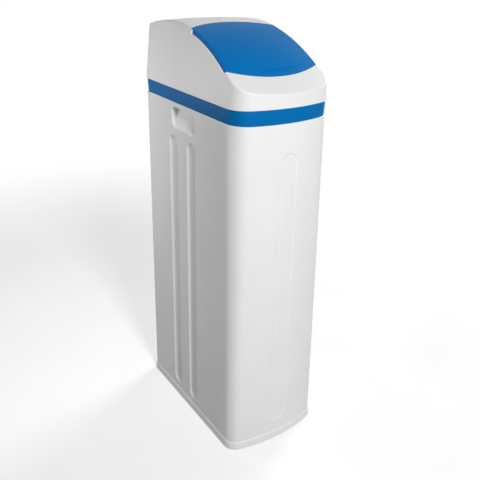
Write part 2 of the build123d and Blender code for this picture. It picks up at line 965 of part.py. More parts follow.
def finger_scoop():
    """Crescent finger pull near the lid's front edge: a wide ring that only dips into the slope."""
    edge_y = lid_front_inset - band_depth / 2
    y = edge_y + scoop_from_edge
    lift = scoop_tube - scoop_depth
    z = dome_height(y, 0) + lift * math.cos(slope_angle)
    tilt = math.degrees(slope_angle) + scoop_lift_angle
    place = Pos(0, y - lift * math.sin(slope_angle), z) * Rot(tilt, 0, 0)
    return place * Pos(0, scoop_radius, 0) * Torus(scoop_radius, scoop_tube)


# Controls

def key_places():
    """Middle of each key along the panel."""
    return [(number - (key_count - 1) / 2) * key_pitch for number in range(key_count)]


def plate_between(length, width, corner, top, bottom):
    """Rounded plate in the panel's frame between two depths."""
    return Pos(0, 0, bottom) * extrude(RectangleRounded(length, width, corner), amount=top - bottom)


def control_panel():
    solid = plate_between(panel_length, panel_width, panel_round, 0, -panel_thickness)
    window = plate_between(
        display_length + 2 * display_fit, display_width + 2 * display_fit, key_round, overrun, -panel_thickness - overrun
    )
    solid -= Pos(0, display_shift, 0) * window
    for x in key_places():
        hole = plate_between(
            key_length + 2 * key_fit, key_width + 2 * key_fit, key_round, overrun, -panel_thickness - overrun
        )
        solid -= Pos(x, key_shift, 0) * hole
    return control_plane() * solid


def control_head():
    """Open tray that carries the panel and the board."""
    top, bottom = -panel_thickness, -panel_thickness - head_height
    solid = plate_between(panel_length, panel_width, panel_round, top, bottom)
    solid -= plate_between(
        panel_length - 2 * head_wall, panel_width - 2 * head_wall, panel_round - head_wall, top + overrun, bottom + head_wall
    )
    x, y = panel_length / 2 - post_inset, panel_width / 2 - post_inset
    board_under = -board_drop - board_thickness
    for place in [(a * x, b * y, bottom) for a in (-1, 1) for b in (-1, 1)]:
        solid += pin(place, TOP, post_radius, board_under - bottom)
    solid -= pin((jack_x, panel_width / 2 - head_wall - overrun, -jack_drop), BACK, jack_radius, head_wall + 2 * overrun)
    for x in (-head_screw_spacing / 2, head_screw_spacing / 2):
        place = (x, display_shift - pad_length / 4, bottom - overrun)
        solid -= pin(place, TOP, head_screw_radius, head_wall + 2 * overrun)
    return control_plane() * solid


def display():
    """Window of the display with the cell under it."""
    length, width = [size - display_cell_margin for size in (display_length, display_width)]
    solid = plate_between(display_length, display_width, key_round, 0, -display_thickness)
    solid += plate_between(length, width, key_round, -display_thickness, -board_drop)
    return control_plane() * Pos(0, display_shift, 0) * solid


def display_board():
    margin = head_wall + board_margin
    solid = plate_between(
        panel_length - 2 * margin, panel_width - 2 * margin, key_round, -board_drop, -board_drop - board_thickness
    )
    return control_plane() * solid


def key_switches():
    top = key_rest() - switch_gap
    place = control_plane()
    half = switch_size / 2
    return [
        place * block((x - half, key_shift - half, -board_drop), (x + half, key_shift + half, top))
        for x in key_places()
    ]


def key_rest():
    """Depth of the foot of a key's stem."""
    return -panel_thickness - key_flange_gap - key_flange_thickness - key_stem_length


def key(number):
    flange_top = -panel_thickness - key_flange_gap
    cap = plate_between(key_length, key_width, key_round, key_proud, flange_top)
    flange = plate_between(
        key_length + 2 * key_flange, key_width + 2 * key_flange, key_round, flange_top, flange_top - key_flange_thickness
    )
    stem = pin((0, 0, key_rest()), TOP, key_stem_radius, key_stem_length)
    return control_plane() * Pos(key_places()[number], key_shift, 0) * (cap + flange + stem)


def power_jack():
    start = panel_width / 2 + head_wall / 2 - jack_length
    body = pin((jack_x, start, -jack_drop), BACK, jack_radius, jack_length)
    body -= pin((jack_x, start + jack_length - jack_depth, -jack_drop), BACK, jack_bore, jack_depth + overrun)
    return control_plane() * body


def head_screws():
    bottom = -panel_thickness - head_height
    place = control_plane()
    return [
        place * pin((x, display_shift - pad_length / 4, bottom + head_wall - head_screw_length), TOP,
                    head_screw_radius, head_screw_length)
        for x in (-head_screw_spacing / 2, head_screw_spacing / 2)
    ]


# Resin tank

def tank_form(inset):
    """Solid of the tank: straight wall, shallow domes with round knuckles, and the neck."""
    radius, bottom, top = tank_radius - inset, tank_low + inset, neck_top
    neck = neck_radius if inset == 0 else neck_bore
    shoulder = neck_top - neck_height - inset
    sphere = dish_radius(radius)
    chord = sphere - math.sqrt(sphere ** 2 - (radius / 2) ** 2)
    neck_z = shoulder - sphere + math.sqrt(sphere ** 2 - neck ** 2)
    half_neck = (neck + radius) / 2
    half_z = shoulder - sphere + math.sqrt(sphere ** 2 - half_neck ** 2)
    lower = ThreePointArc((0, bottom), (radius / 2, bottom + chord), (radius, bottom + tank_dome))
    wall = Line((radius, bottom + tank_dome), (radius, shoulder - tank_dome))
    upper = ThreePointArc((radius, shoulder - tank_dome), (half_neck, half_z), (neck, neck_z))
    closing = Polyline((neck, neck_z), (neck, top), (0, top), (0, bottom))
    face = make_face([lower, wall, upper, closing])
    knuckles = [v for v in face.vertices() if abs(v.X - radius) < overrun]
    face = fillet(knuckles, tank_knuckle - inset)
    return Pos(0, tank_y, 0) * revolve(Plane.XZ * face, axis=Axis.Z)


def resin_tank():
    bore = pin((0, tank_y, neck_top - neck_height), TOP, neck_bore, neck_height + overrun)
    return tank_form(0) - tank_form(tank_wall) - bore


def tank_boot():
    solid = pin((0, tank_y, floor_z), TOP, tank_radius + boot_wall, boot_height)
    return solid - (tank_form(-boot_gap))


def resin_bed():
    solid = tank_form(tank_wall + resin_gap)
    top = tank_low + resin_height
    reach = tank_radius + overrun
    solid = solid & block((-reach, tank_y - reach, tank_low), (reach, tank_y + reach, top))
    solid -= pin((0, tank_y, tank_low), TOP, riser_radius + resin_gap, resin_height + overrun)
    return solid - pin((0, tank_y, tank_low), TOP, strainer_radius + resin_gap, strainer_top() - tank_low + resin_gap)


def dish_radius(reach):
    """Radius of the dished ends of the tank for a wall at a reach."""
    return (reach ** 2 + tank_dome ** 2) / (2 * tank_dome)


def strainer_low():
    """Height where the strainer's rim meets the dished floor, with its gap."""
    dish = dish_radius(tank_radius - tank_wall)
    return tank_low + tank_wall + strainer_floor_gap + dish - math.sqrt(dish ** 2 - strainer_radius ** 2)


def strainer_top():
    return strainer_low() + strainer_height


def riser_tube():
    low = strainer_top() - strainer_height / 4
    high = neck_top + riser_insert
    return ring((0, tank_y, low), TOP, riser_radius, riser_bore, high - low)


def slotted(solid, low, height, radius):
    """Cuts upright slots right round a strainer."""
    cutter = Pos(0, 0, low) * Box(2 * radius, strainer_slot_width, height, align=UP)
    cutters = around(strainer_slots, cutter)[: strainer_slots // 2]
    return solid - [Pos(0, tank_y, 0) * each for each in cutters]


def bottom_strainer():
    low = strainer_low()
    socket = riser_radius + strainer_socket_gap
    wall = pin((0, tank_y, low), TOP, strainer_radius, strainer_height)
    wall -= pin((0, tank_y, low + strainer_wall), TOP, strainer_radius - strainer_wall, strainer_height - 2 * strainer_wall)
    wall = slotted(wall, low + 2 * strainer_wall, strainer_height - 6 * strainer_wall, strainer_radius + overrun)
    neck_low = strainer_top() - strainer_height / 4 - strainer_wall
    wall += pin((0, tank_y, neck_low), TOP, socket + strainer_wall, strainer_top() - neck_low)
    wall -= pin((0, tank_y, neck_low + strainer_wall), TOP, socket, strainer_height)
    return wall - pin((0, tank_y, neck_low - overrun), TOP, riser_bore, strainer_height)


def top_strainer():
    high = neck_top - valve_spigot_length
    low = high - top_strainer_height
    inner = riser_radius + strainer_socket_gap
    wall = ring((0, tank_y, low), TOP, top_strainer_radius, top_strainer_radius - strainer_wall, top_strainer_height)
    wall = slotted(wall, low + strainer_wall, top_strainer_height - 3 * strainer_wall, top_strainer_radius + overrun)
    return wall + ring((0, tank_y, low), TOP, top_strainer_radius, inner, strainer_wall)


def neck_seal():
    return torus_at((0, tank_y, neck_top + seal_tube), TOP, seal_radius, seal_tube)


# Valve

def valve_body():
    solid = pin((0, tank_y, neck_top - valve_spigot_length), TOP, valve_spigot_radius, valve_spigot_length)
    solid += pin((0, tank_y, neck_top), TOP, valve_flange_radius, valve_flange_thickness)
    solid += pin((0, tank_y, neck_top), TOP, valve_trunk_radius, barrel_z - neck_top)
    solid += block(
        (-web_half, tank_y - web_half, ports_z),
        (web_half, barrel_rear_y - web_inset, barrel_z - web_inset),
    )
    barrel = pin(barrel_axis, BACK, barrel_radius, barrel_rear_y - barrel_front_y)
    for number in range(barrel_fin_count):
        y = barrel_front_y + barrel_fin_pitch * (number + 1) - barrel_fin_width
        barrel += pin((0, y, barrel_z), BACK, barrel_radius + barrel_fin_rise, barrel_fin_width)
    solid += barrel
    pad_rear = barrel_rear_y
    pad_top = dome_height(panel_y, 0)
    pad = block((-pad_half, pad_rear - pad_length, barrel_z), (pad_half, pad_rear, pad_top))
    solid += pad
    for side in (-1, 1):
        solid += pin((side * port_x, tank_y, ports_z), BACK, port_radius, ports_end_y - tank_y)
    solid += pin((-web_half, injector_y, ports_z), LEFT, injector_radius, injector_reach - web_half)
    solid += pin((-passage_x, drain_y, ports_z), LEFT, drain_radius, drain_reach - passage_x)
    solid += pin((passage_x, brine_y, brine_z), RIGHT, brine_boss_radius, brine_reach - passage_x)
    solid += pin((passage_x, mixing_y, ports_z), RIGHT, mixing_boss_radius, mixing_reach - passage_x)
    solid -= valve_passages()
    solid -= control_plane() * plate_between(
        panel_length, panel_width, panel_round, 2 * head_height, -panel_thickness - head_height
    )
    for x in (-head_screw_spacing / 2, head_screw_spacing / 2):
        place = (x, display_shift - pad_length / 4, -panel_thickness - head_height + head_wall - head_screw_length)
        solid -= control_plane() * pin(place, TOP, head_screw_radius, head_screw_length)
    return solid


def valve_passages():
    """Bores for the piston, the water ways, the seals and the side fittings."""
    bore = barrel_rear_y - barrel_end_wall - barrel_front_y
    cuts = pin((0, barrel_front_y - overrun, barrel_z), BACK, barrel_bore, bore + overrun)
    spigot_low = neck_top - valve_spigot_length
    cuts += pin((0, tank_y, spigot_low - overrun), TOP, riser_radius + strainer_socket_gap,
                ports_z - port_bore - spigot_low + overrun)
    cuts += pin((0, tank_y, ports_z - 2 * port_bore), TOP, port_bore, barrel_z - ports_z + port_bore)
    for side in (-1, 1):
        cuts += pin((side * port_x, tank_y, ports_z), BACK, port_bore, ports_end_y - tank_y + overrun)
        cuts += pin((side * passage_x, drain_y, ports_z), TOP, passage_radius, barrel_z - ports_z)
        cuts += pin((side * port_x, drain_y, ports_z), (-side, 0, 0), passage_radius, port_x - passage_x)
        groove = ports_end_y - 2 * port_seal_tube
        inner, outer = [port_seal_radius + half * seal_groove_width / 2 for half in (-1, 1)]
        cuts += ring((side * port_x, groove, ports_z), BACK, outer, inner, 2 * port_seal_tube + overrun)
    inner, outer = [seal_radius + half * seal_groove_width / 2 for half in (-1, 1)]
    cuts += ring((0, tank_y, neck_top - overrun), TOP, outer, inner, 2 * seal_tube + overrun)
    cuts += pin((-injector_reach - overrun, injector_y, ports_z), RIGHT, injector_bore, injector_reach - web_half + overrun)
    cuts += pin((-drain_reach - overrun, drain_y, ports_z), RIGHT, drain_bore, drain_reach - passage_x)
    cuts += pin((brine_reach + overrun, brine_y, brine_z), LEFT, brine_tube_bore, brine_reach)
    cuts += pin((mixing_reach + overrun, mixing_y, ports_z), LEFT, mixing_stem_radius + mixing_fit,
                mixing_stem_depth + 2 * overrun)
    return cuts


def stack_spacers():
    step = spacer_length + lip_length
    starts = [stack_start_y + lip_length + step * number for number in range(lip_count - 1)]
    return [ring((0, y, barrel_z), BACK, barrel_bore - stack_fit, spacer_bore, spacer_length) for y in starts]


def stack_seals():
    step = spacer_length + lip_length
    starts = [stack_start_y + step * number for number in range(lip_count)]
    return [ring((0, y, barrel_z), BACK, barrel_bore - stack_fit, stack_inner, lip_length) for y in starts]


def stack_retainer():
    length = stack_start_y - barrel_front_y
    return ring(barrel_axis, BACK, barrel_bore - retainer_fit, rod_radius + rod_fit, length)


def piston():
    """Spool with a waist that joins one port to the next, and a hollow rod round the screw."""
    land = (piston_length - piston_waist_length) / 2
    y = piston_start_y
    solid = pin((0, y, barrel_z), BACK, piston_radius, land)
    solid += pin((0, y, barrel_z), BACK, piston_waist, piston_length)
    solid += pin((0, y + land + piston_waist_length, barrel_z), BACK, piston_radius, land)
    solid += pin((0, rod_front_y, barrel_z), BACK, rod_radius, y - rod_front_y)
    return solid - pin((0, rod_front_y - overrun, barrel_z), BACK, rod_bore, bore_depth_y - rod_front_y + overrun)


# Gear drive

def tooth_angle(radius, base, half):
    """Half the angle of a tooth at a radius, from the involute of its base circle."""
    def involute(cosine):
        angle = math.acos(cosine)
        return math.tan(angle) - angle
    return half + involute(math.cos(math.radians(pressure_angle))) - involute(min(1, base / radius))


def gear_face(teeth, turn):
    """Outline of a gear with involute flanks; turn is the direction of one tooth."""
    pitch = gear_module * teeth / 2
    base = pitch * math.cos(math.radians(pressure_angle))
    tip, root = pitch + gear_module * addendum_share, pitch - gear_module * dedendum_share
    half = math.pi / teeth / 2 - gear_backlash / (2 * pitch)
    start = max(base, root)
    radii = [start + (tip - start) * step / flank_steps for step in range(flank_steps + 1)]
    if root < base:
        radii.insert(0, root)
    points = []
    for tooth in range(teeth):
        middle = math.radians(turn) + 2 * math.pi * tooth / teeth
        flank = [(radius, tooth_angle(max(radius, base), base, half)) for radius in radii]
        points += [(r * math.cos(middle - a), r * math.sin(middle - a)) for r, a in flank]
        points += [(r * math.cos(middle + a), r * math.sin(middle + a)) for r, a in reversed(flank)]
    return make_face(Polyline(*points, close=True))


def gear(x, z, rear_y, width, teeth, turn):
    """Gear about a level axis, with its teeth seen from the front."""
    return Plane(origin=(x, rear_y, z), x_dir=RIGHT, z_dir=FRONT) * extrude(gear_face(teeth, turn), amount=width)


def main_gear():
    """Large gear with its hub, front journal and the screw that drives the piston."""
    solid = gear(0, barrel_z, main_gear_rear_y, main_gear_width, main_teeth, idler_direction)
    solid += pin((0, main_gear_rear_y, barrel_z), BACK, hub_radius - hub_fit, hub_rear_y - main_gear_rear_y)
    solid += pin((0, main_gear_rear_y, barrel_z), BACK, screw_radius, screw_tip_y - main_gear_rear_y)
    front = main_gear_rear_y - main_gear_width
    return solid + pin((0, front, barrel_z), FRONT, journal_radius, front - journal_front_y)


def idler_gear():
    """Two gears moulded in one piece: the small one drives the main gear."""
    gap_turn = idler_direction + 180 + 180 / idler_small_teeth
    solid = gear(idler_x, idler_z, main_gear_rear_y, main_gear_width, idler_small_teeth, gap_turn)
    solid += gear(idler_x, idler_z, large_gear_rear_y, large_gear_width, idler_large_teeth, motor_direction)
    neck = main_gear_rear_y - main_gear_width - large_gear_rear_y
    solid += pin((idler_x, large_gear_rear_y, idler_z), BACK, hub_radius / 2, neck)
    start = large_gear_rear_y - large_gear_width - overrun
    return solid - pin((idler_x, start, idler_z), BACK, idler_pin_radius + shaft_fit, main_gear_rear_y + overrun - start)


def motor_pinion():
    """Pinion on the motor's shaft."""
    gap_turn = motor_direction + 180 + 180 / pinion_teeth
    solid = gear(motor_x, motor_z, large_gear_rear_y, large_gear_width, pinion_teeth, gap_turn)
    front = large_gear_rear_y - large_gear_width
    return solid + pin((motor_x, front, motor_z), BACK, shaft_radius, barrel_front_y + shaft_depth - front)


def drive_motor():
    solid = pin((motor_x, barrel_front_y, motor_z), BACK, motor_radius, motor_length)
    solid += pin((motor_x, barrel_front_y + motor_length, motor_z), BACK, motor_cap_radius, motor_cap_length)
    return solid - pin((motor_x, barrel_front_y - overrun, motor_z), BACK, shaft_radius + shaft_fit,
                       shaft_depth + 2 * overrun)


def drive_plate(front_y, rear_y, inset):
    """Rounded plate of the drive's outline between two places along Y."""
    width = bracket_right - bracket_left - 2 * inset
    height = bracket_high - bracket_low - 2 * inset
    middle = ((bracket_left + bracket_right) / 2, (bracket_low + bracket_high) / 2)
    face = RectangleRounded(width, height, bracket_round - inset)
    return extrude(Plane.XZ.offset(-rear_y) * Pos(*middle) * face, amount=rear_y - front_y)


def cover_corners():
    """Places of the cover's screws."""
    xs = (bracket_left + screw_hole_inset, bracket_right - screw_hole_inset)
    zs = (bracket_low + screw_hole_inset, bracket_high - screw_hole_inset)
    return [(x, z) for x in xs for z in zs]


def drive_bracket():
    front = barrel_front_y - bracket_thickness
    solid = drive_plate(front, barrel_front_y, 0)
    cut = bracket_thickness + 2 * overrun
    solid -= pin((0, front - overrun, barrel_z), BACK, hub_radius, cut)
    solid += pin((idler_x, front, idler_z), FRONT, idler_pin_radius, front - idler_pin_front_y)
    solid -= pin((motor_x, front - overrun, motor_z), BACK, shaft_radius * 2, cut)
    for x, z in cover_corners():
        solid -= pin((x, front - overrun, z), BACK, cover_screw_radius, cut)
    return solid


def gear_cover():
    rear = barrel_front_y - bracket_thickness
    solid = drive_plate(cover_front_y, rear, 0)
    solid = fillet(solid.faces().sort_by(Axis.Y)[0].edges(), cover_round)
    solid -= drive_plate(cover_front_y + cover_wall, rear + overrun, cover_wall)
    inner = cover_front_y + cover_wall
    solid += pin((0, cover_front_y, barrel_z), BACK, journal_radius + cover_boss_wall,
                 main_gear_rear_y - main_gear_width - idler_play - cover_front_y)
    solid -= pin((0, inner, barrel_z), BACK, journal_radius + hub_fit, rear - inner)
    for x, z in cover_corners():
        solid += pin((x, cover_front_y, z), BACK, screw_pillar_radius, rear - cover_front_y)
        solid -= pin((x, cover_front_y - overrun, z), BACK, cover_screw_radius, rear - cover_front_y + 2 * overrun)
    return solid


def cover_screws():
    screws = []
    for x, z in cover_corners():
        head_y = cover_front_y - cover_screw_head_height
        shank = pin((x, head_y, z), BACK, cover_screw_radius, cover_screw_head_height + cover_screw_length)
        screws.append(shank + pin((x, head_y, z), BACK, cover_screw_head, cover_screw_head_height))
    return screws


# Side fittings

def injector_nozzle():
    start = -injector_reach
    solid = pin((start, injector_y, ports_z), RIGHT, injector_bore - stack_fit, cover_wall)
    solid += pin((start, injector_y, ports_z), RIGHT, injector_nozzle_radius, injector_nozzle_length)
    return solid - pin((start + cover_wall, injector_y, ports_z), RIGHT, brine_tube_bore / 2, injector_nozzle_length)


def ribbed_cap(start, direction, radius, length, ribs, rib_radius):
    """Round cap or nut with finger ribs along it."""
    shape = Cylinder(radius - rib_radius, length, align=UP)
    rib = Pos(radius - rib_radius, 0, 0) * Cylinder(rib_radius, length, align=UP)
    for each in around(ribs, rib):
        shape += each
    return Plane(origin=start, z_dir=direction) * shape


def injector_cap():
    place = (-injector_reach, injector_y, ports_z)
    return ribbed_cap(place, LEFT, injector_cap_radius, injector_cap_thickness, knob_rib_count, knob_rib_radius)


def barbs(end, direction, radius, bore_cut):
    """Hose tail with ring barbs; it ends at the given point."""
    length = barb_pitch * barb_count
    start = [place - length * way for place, way in zip(end, direction)]
    tail = pin(tuple(start), direction, radius, length)
    for number in range(barb_count):
        at = [place + barb_pitch * number * way for place, way in zip(start, direction)]
        cone = Cone(radius + barb_rise, radius, barb_pitch, align=UP)
        tail += Plane(origin=tuple(at), z_dir=direction) * cone
    return tail - bore_cut


def drain_elbow():
    bore = pin((-drain_elbow_reach, drain_y - drain_elbow_radius / 2, ports_z), BACK, drain_bore, drain_end_y)
    solid = pin((-drain_reach, drain_y, ports_z), LEFT, drain_elbow_radius, drain_elbow_reach - drain_reach)
    solid += Pos(-drain_elbow_reach, drain_y, ports_z) * Sphere(drain_elbow_radius + elbow_swell)
    tail_start = drain_end_y - barb_pitch * barb_count
    solid += pin((-drain_elbow_reach, drain_y, ports_z), BACK, drain_elbow_radius, (tail_start - drain_y) / 2)
    solid += pin((-drain_elbow_reach, drain_y, ports_z), BACK, barb_radius, tail_start - drain_y)
    solid += barbs((-drain_elbow_reach, drain_end_y, ports_z), BACK, barb_radius, bore)
    solid -= bore
    return solid - pin((-drain_reach + overrun, drain_y, ports_z), LEFT, drain_bore, drain_elbow_reach - drain_reach)


def brine_elbow():
    solid = pin((brine_reach, brine_y, brine_z), RIGHT, brine_elbow_radius, brine_elbow_x - brine_reach)
    solid += Pos(brine_elbow_x, brine_y, brine_z) * Sphere(brine_elbow_radius + elbow_swell)
    nut_start = brine_y - brine_elbow_radius / 2
    place = (brine_elbow_x, nut_start, brine_z)
    solid += ribbed_cap(place, FRONT, brine_nut_radius, nut_start - brine_nut_front_y, knob_rib_count, knob_rib_radius)
    mouth = (brine_elbow_x, brine_nut_front_y - overrun, brine_z)
    solid -= pin(mouth, BACK, brine_tube_radius + tube_fit, brine_socket_y() - brine_nut_front_y + overrun)
    solid -= pin(mouth, BACK, brine_tube_bore, brine_y - brine_nut_front_y + overrun)
    return solid - pin((brine_reach - overrun, brine_y, brine_z), RIGHT, brine_tube_bore,
                       brine_elbow_x - brine_reach + overrun)


def brine_socket_y():
    return brine_nut_front_y + brine_nut_radius


def mixing_knob():
    place = (mixing_reach + idler_play, mixing_y, ports_z)
    solid = ribbed_cap(place, RIGHT, mixing_knob_radius, mixing_knob_length, knob_rib_count, knob_rib_radius)
    return solid + pin(place, LEFT, mixing_stem_radius, mixing_stem_depth)


# Flow meter

def turbine_cage():
    """Ring with a spider at each end that carries the turbine's shaft."""
    outer = port_bore - cage_gap
    start = (-port_x, meter_y, ports_z)
    solid = ring(start, BACK, outer, outer - cage_wall, cage_length)
    for y in (meter_y, meter_y + cage_length - cage_spider):
        solid += pin((-port_x, y, ports_z), BACK, cage_hub_radius, cage_spider)
        spoke = Pos(outer / 2, 0, 0) * Box(outer - cage_wall / 2, blade_thickness, cage_spider, align=UP)
        spokes = [Plane(origin=(-port_x, y, ports_z), z_dir=BACK) * each for each in around(3, spoke)]
        for each in spokes:
            solid += each
    return solid - pin((-port_x, meter_y - overrun, ports_z), BACK, turbine_shaft + turbine_fit,
                       cage_length + 2 * overrun)


def meter_turbine():
    """Hub with slanted blades on a thin shaft."""
    middle = meter_y + cage_length / 2
    start = middle - turbine_length / 2
    solid = pin((-port_x, start, ports_z), BACK, turbine_hub, turbine_length)
    reach = turbine_radius - turbine_hub / 2
    blade = Box(reach, blade_thickness, blade_length)
    blade = Pos(turbine_hub / 2 + reach / 2, 0, turbine_length / 2) * Rot(blade_pitch, 0, 0) * blade
    rim = Cylinder(turbine_radius, turbine_length, align=UP)
    for each in around(turbine_blades, blade):
        solid += Plane(origin=(-port_x, start, ports_z), z_dir=BACK) * (each & rim)
    shaft = cage_length - cage_spider
    return solid + pin((-port_x, middle - shaft / 2, ports_z), BACK, turbine_shaft, shaft)


# Bypass

def coupling_nuts():
    nuts = []
    for side in (-1, 1):
        place = (side * port_x, nut_front_y, ports_z)
        solid = ribbed_cap(place, BACK, nut_radius, nut_rear_y - nut_front_y, nut_ribs, nut_rib_radius)
        nuts.append(solid - pin((side * port_x, nut_front_y - overrun, ports_z), BACK, port_radius + nut_fit,
                                nut_rear_y - nut_front_y + 2 * overrun))
    return nuts


def port_seals():
    y = ports_end_y - port_seal_tube
    return [torus_at((side * port_x, y, ports_z), BACK, port_seal_radius, port_seal_tube) for side in (-1, 1)]


def bypass_body():
    height = bypass_chamber_high - bypass_chamber_low
    solid = pin((-port_x, bypass_y, ports_z), RIGHT, bypass_cross_radius, 2 * port_x)
    for side in (-1, 1):
        x = side * port_x
        solid += pin((x, ports_end_y, ports_z), BACK, port_radius, bypass_y - ports_end_y)
        solid += pin((x, bypass_y, bypass_chamber_low), TOP, bypass_chamber_radius, height)
        solid += pin((x, bypass_y, ports_z), BACK, thread_root, bypass_end_y - bypass_y)
        start = bypass_end_y - thread_length
        solid += pin((x, bypass_y, ports_z), BACK, thread_collar_radius, start - bypass_y)
        for number in range(thread_ridges):
            y = start + (thread_length - thread_ridge_width) * number / (thread_ridges - 1)
            solid += pin((x, y, ports_z), BACK, thread_radius, thread_ridge_width)
    for side in (-1, 1):
        x = side * port_x
        solid -= pin((x, ports_end_y - overrun, ports_z), BACK, bypass_bore, bypass_end_y - ports_end_y + 2 * overrun)
        solid -= pin((x, bypass_y, rotor_low - rotor_fit), TOP, rotor_radius + rotor_fit, bypass_chamber_high)
    return solid - pin((-port_x, bypass_y, ports_z), RIGHT, passage_radius, 2 * port_x)


def bypass_handle(side):
    """Rotor with a cross bore, and its arrow-shaped lever on top."""
    x = side * port_x
    top = bypass_chamber_high + handle_lift
    solid = pin((x, bypass_y, rotor_low), TOP, rotor_radius, top - rotor_low)
    solid -= pin((x, bypass_y - rotor_radius - overrun, ports_z), BACK, bypass_bore, 2 * rotor_radius + 2 * overrun)
    solid += pin((x, bypass_y, top), TOP, handle_radius, handle_height)
    half, tip = lever_width / 2, lever_tip_width / 2
    arrow = make_face(Polyline((-half, -handle_radius), (half, -handle_radius), (half, handle_radius / 2),
                               (tip, lever_length), (-tip, lever_length), (-half, handle_radius / 2), close=True))
    return solid + Pos(x, bypass_y, top) * extrude(arrow, amount=lever_height)


# Brine side

def brine_well():
    solid = ring((well_x, well_y, floor_z), TOP, well_radius, well_radius - well_wall, well_top - floor_z)
    cutter = Pos(0, 0, well_slot_low) * Box(2 * well_radius + overrun, well_slot_width, well_slot_height, align=UP)
    for each in around(well_slots, cutter)[: well_slots // 2]:
        solid -= Pos(well_x, well_y, 0) * each
    return solid - pin((well_x, well_y, brine_tube_z), BACK, boss_radius + boss_gap, 2 * well_radius)


def well_cap():
    outer = well_radius + cap_gap + cap_wall
    low = well_top - cap_skirt
    solid = pin((well_x, well_y, low), TOP, outer, cap_skirt + cap_gap + cap_wall)
    solid -= pin((well_x, well_y, low - overrun), TOP, well_radius + cap_gap, cap_skirt + cap_gap + overrun)
    top = well_top + cap_gap + cap_wall
    solid += pin((well_x, well_y, top), TOP, cap_knob_radius, cap_knob_height)
    notch = 2 * (tube_nut_radius + overrun)
    return solid - block((well_x - notch / 2, well_y, low - overrun), (well_x + notch / 2, well_y + 2 * well_radius,
                                                                     well_top - overrun))


def safety_valve():
    """Shut-off valve across the top of the well, with the outlet boss through the well's wall."""
    left, right = riser_pipe_x - safety_half_width, float_rod_x + safety_half_width
    solid = block((left, well_y - safety_half_width, safety_low), (right, well_y + safety_half_width, safety_high))
    solid += pin((well_x, well_y, brine_tube_z), BACK, boss_radius + safety_half_width / 2, well_radius)
    shape = pin((well_x, well_y, safety_low), TOP, well_radius - well_wall - safety_wall_gap, safety_high - safety_low)
    solid = solid & shape
    solid += pin((well_x, well_y, brine_tube_z), BACK, boss_radius, boss_end_y - well_y)
    solid -= pin((well_x, well_y, brine_tube_z), BACK, brine_tube_bore, boss_end_y - well_y + overrun)
    solid -= pin((well_x, brine_tube_start_y(), brine_tube_z), BACK, brine_tube_radius + tube_fit,
                 boss_end_y - brine_tube_start_y() + overrun)
    solid -= pin((riser_pipe_x, well_y, safety_low - overrun), TOP, riser_pipe_radius + tube_fit, riser_socket + overrun)
    solid -= pin((riser_pipe_x, well_y, safety_low), TOP, riser_pipe_bore, brine_tube_z - safety_low)
    solid -= pin((riser_pipe_x, well_y, brine_tube_z), RIGHT, riser_pipe_bore / 2, well_x - riser_pipe_x)
    bore_top = float_rod_top + float_travel + overrun
    return solid - pin((float_rod_x, well_y, safety_low - overrun), TOP, float_rod_radius + float_rod_fit,
                       bore_top - safety_low + overrun)


def brine_tube_start_y():
    return boss_end_y - tube_nut_radius


def brine_riser():
    high = safety_low + riser_socket - tube_fit
    return ring((riser_pipe_x, well_y, riser_pipe_low), TOP, riser_pipe_radius, riser_pipe_bore, high - riser_pipe_low)


def rod_guide():
    """Clip on the riser that steadies the float's rod."""
    solid = pin((riser_pipe_x, well_y, guide_z), TOP, guide_radius, guide_thickness)
    solid += pin((float_rod_x, well_y, guide_z), TOP, guide_radius - float_rod_radius, guide_thickness)
    solid += block((riser_pipe_x, well_y - guide_half_width, guide_z),
                   (float_rod_x, well_y + guide_half_width, guide_z + guide_thickness))
    cut = guide_thickness + 2 * overrun
    solid -= pin((riser_pipe_x, well_y, guide_z - overrun), TOP, riser_pipe_radius, cut)
    return solid - pin((float_rod_x, well_y, guide_z - overrun), TOP, float_rod_radius + float_rod_fit, cut)


def float_rod():
    """Rod with a stop under the float and one above it."""
    solid = pin((float_rod_x, well_y, float_rod_low), TOP, float_rod_radius, float_rod_top - float_rod_low)
    for z in (float_low - grommet_height, float_low + float_height):
        solid += pin((float_rod_x, well_y, z), TOP, grommet_radius, grommet_height)
    return solid


def float_cup():
    solid = pin((float_rod_x, well_y, float_low), TOP, float_radius, float_height)
    solid = fillet(solid.edges().filter_by(GeomType.CIRCLE), float_round)
    solid = Pos(well_x + well_radius - well_wall - overrun - float_radius - float_rod_x, 0, 0) * solid
    return solid - pin((float_rod_x, well_y, float_low - overrun), TOP, float_rod_radius, float_height + 2 * overrun)


def air_check():
    """Slotted cage on the foot of the riser."""
    height = air_check_high - air_check_low
    x = well_x - well_radius + well_wall + overrun + air_check_radius
    place = (max(x, riser_pipe_x), well_y, air_check_low)
    solid = pin(place, TOP, air_check_radius, height)
    low = (place[0], well_y, air_check_low + air_check_wall)
    solid -= pin(low, TOP, air_check_radius - air_check_wall, height - 4 * air_check_wall)
    slot_high = riser_pipe_low - air_check_low - 6 * air_check_wall
    cutter = Pos(0, 0, air_check_low + 2 * air_check_wall) * Box(
        2 * air_check_radius + overrun, air_check_wall, slot_high, align=UP
    )
    for each in around(air_check_slots, cutter)[: air_check_slots // 2]:
        solid -= Pos(place[0], well_y, 0) * each
    return solid - pin((riser_pipe_x, well_y, riser_pipe_low), TOP, riser_pipe_radius, air_check_high)


def air_check_ball():
    x = max(well_x - well_radius + well_wall + overrun + air_check_radius, riser_pipe_x)
    return Pos(x, well_y, air_check_low + air_check_wall + air_ball_radius) * Sphere(air_ball_radius)


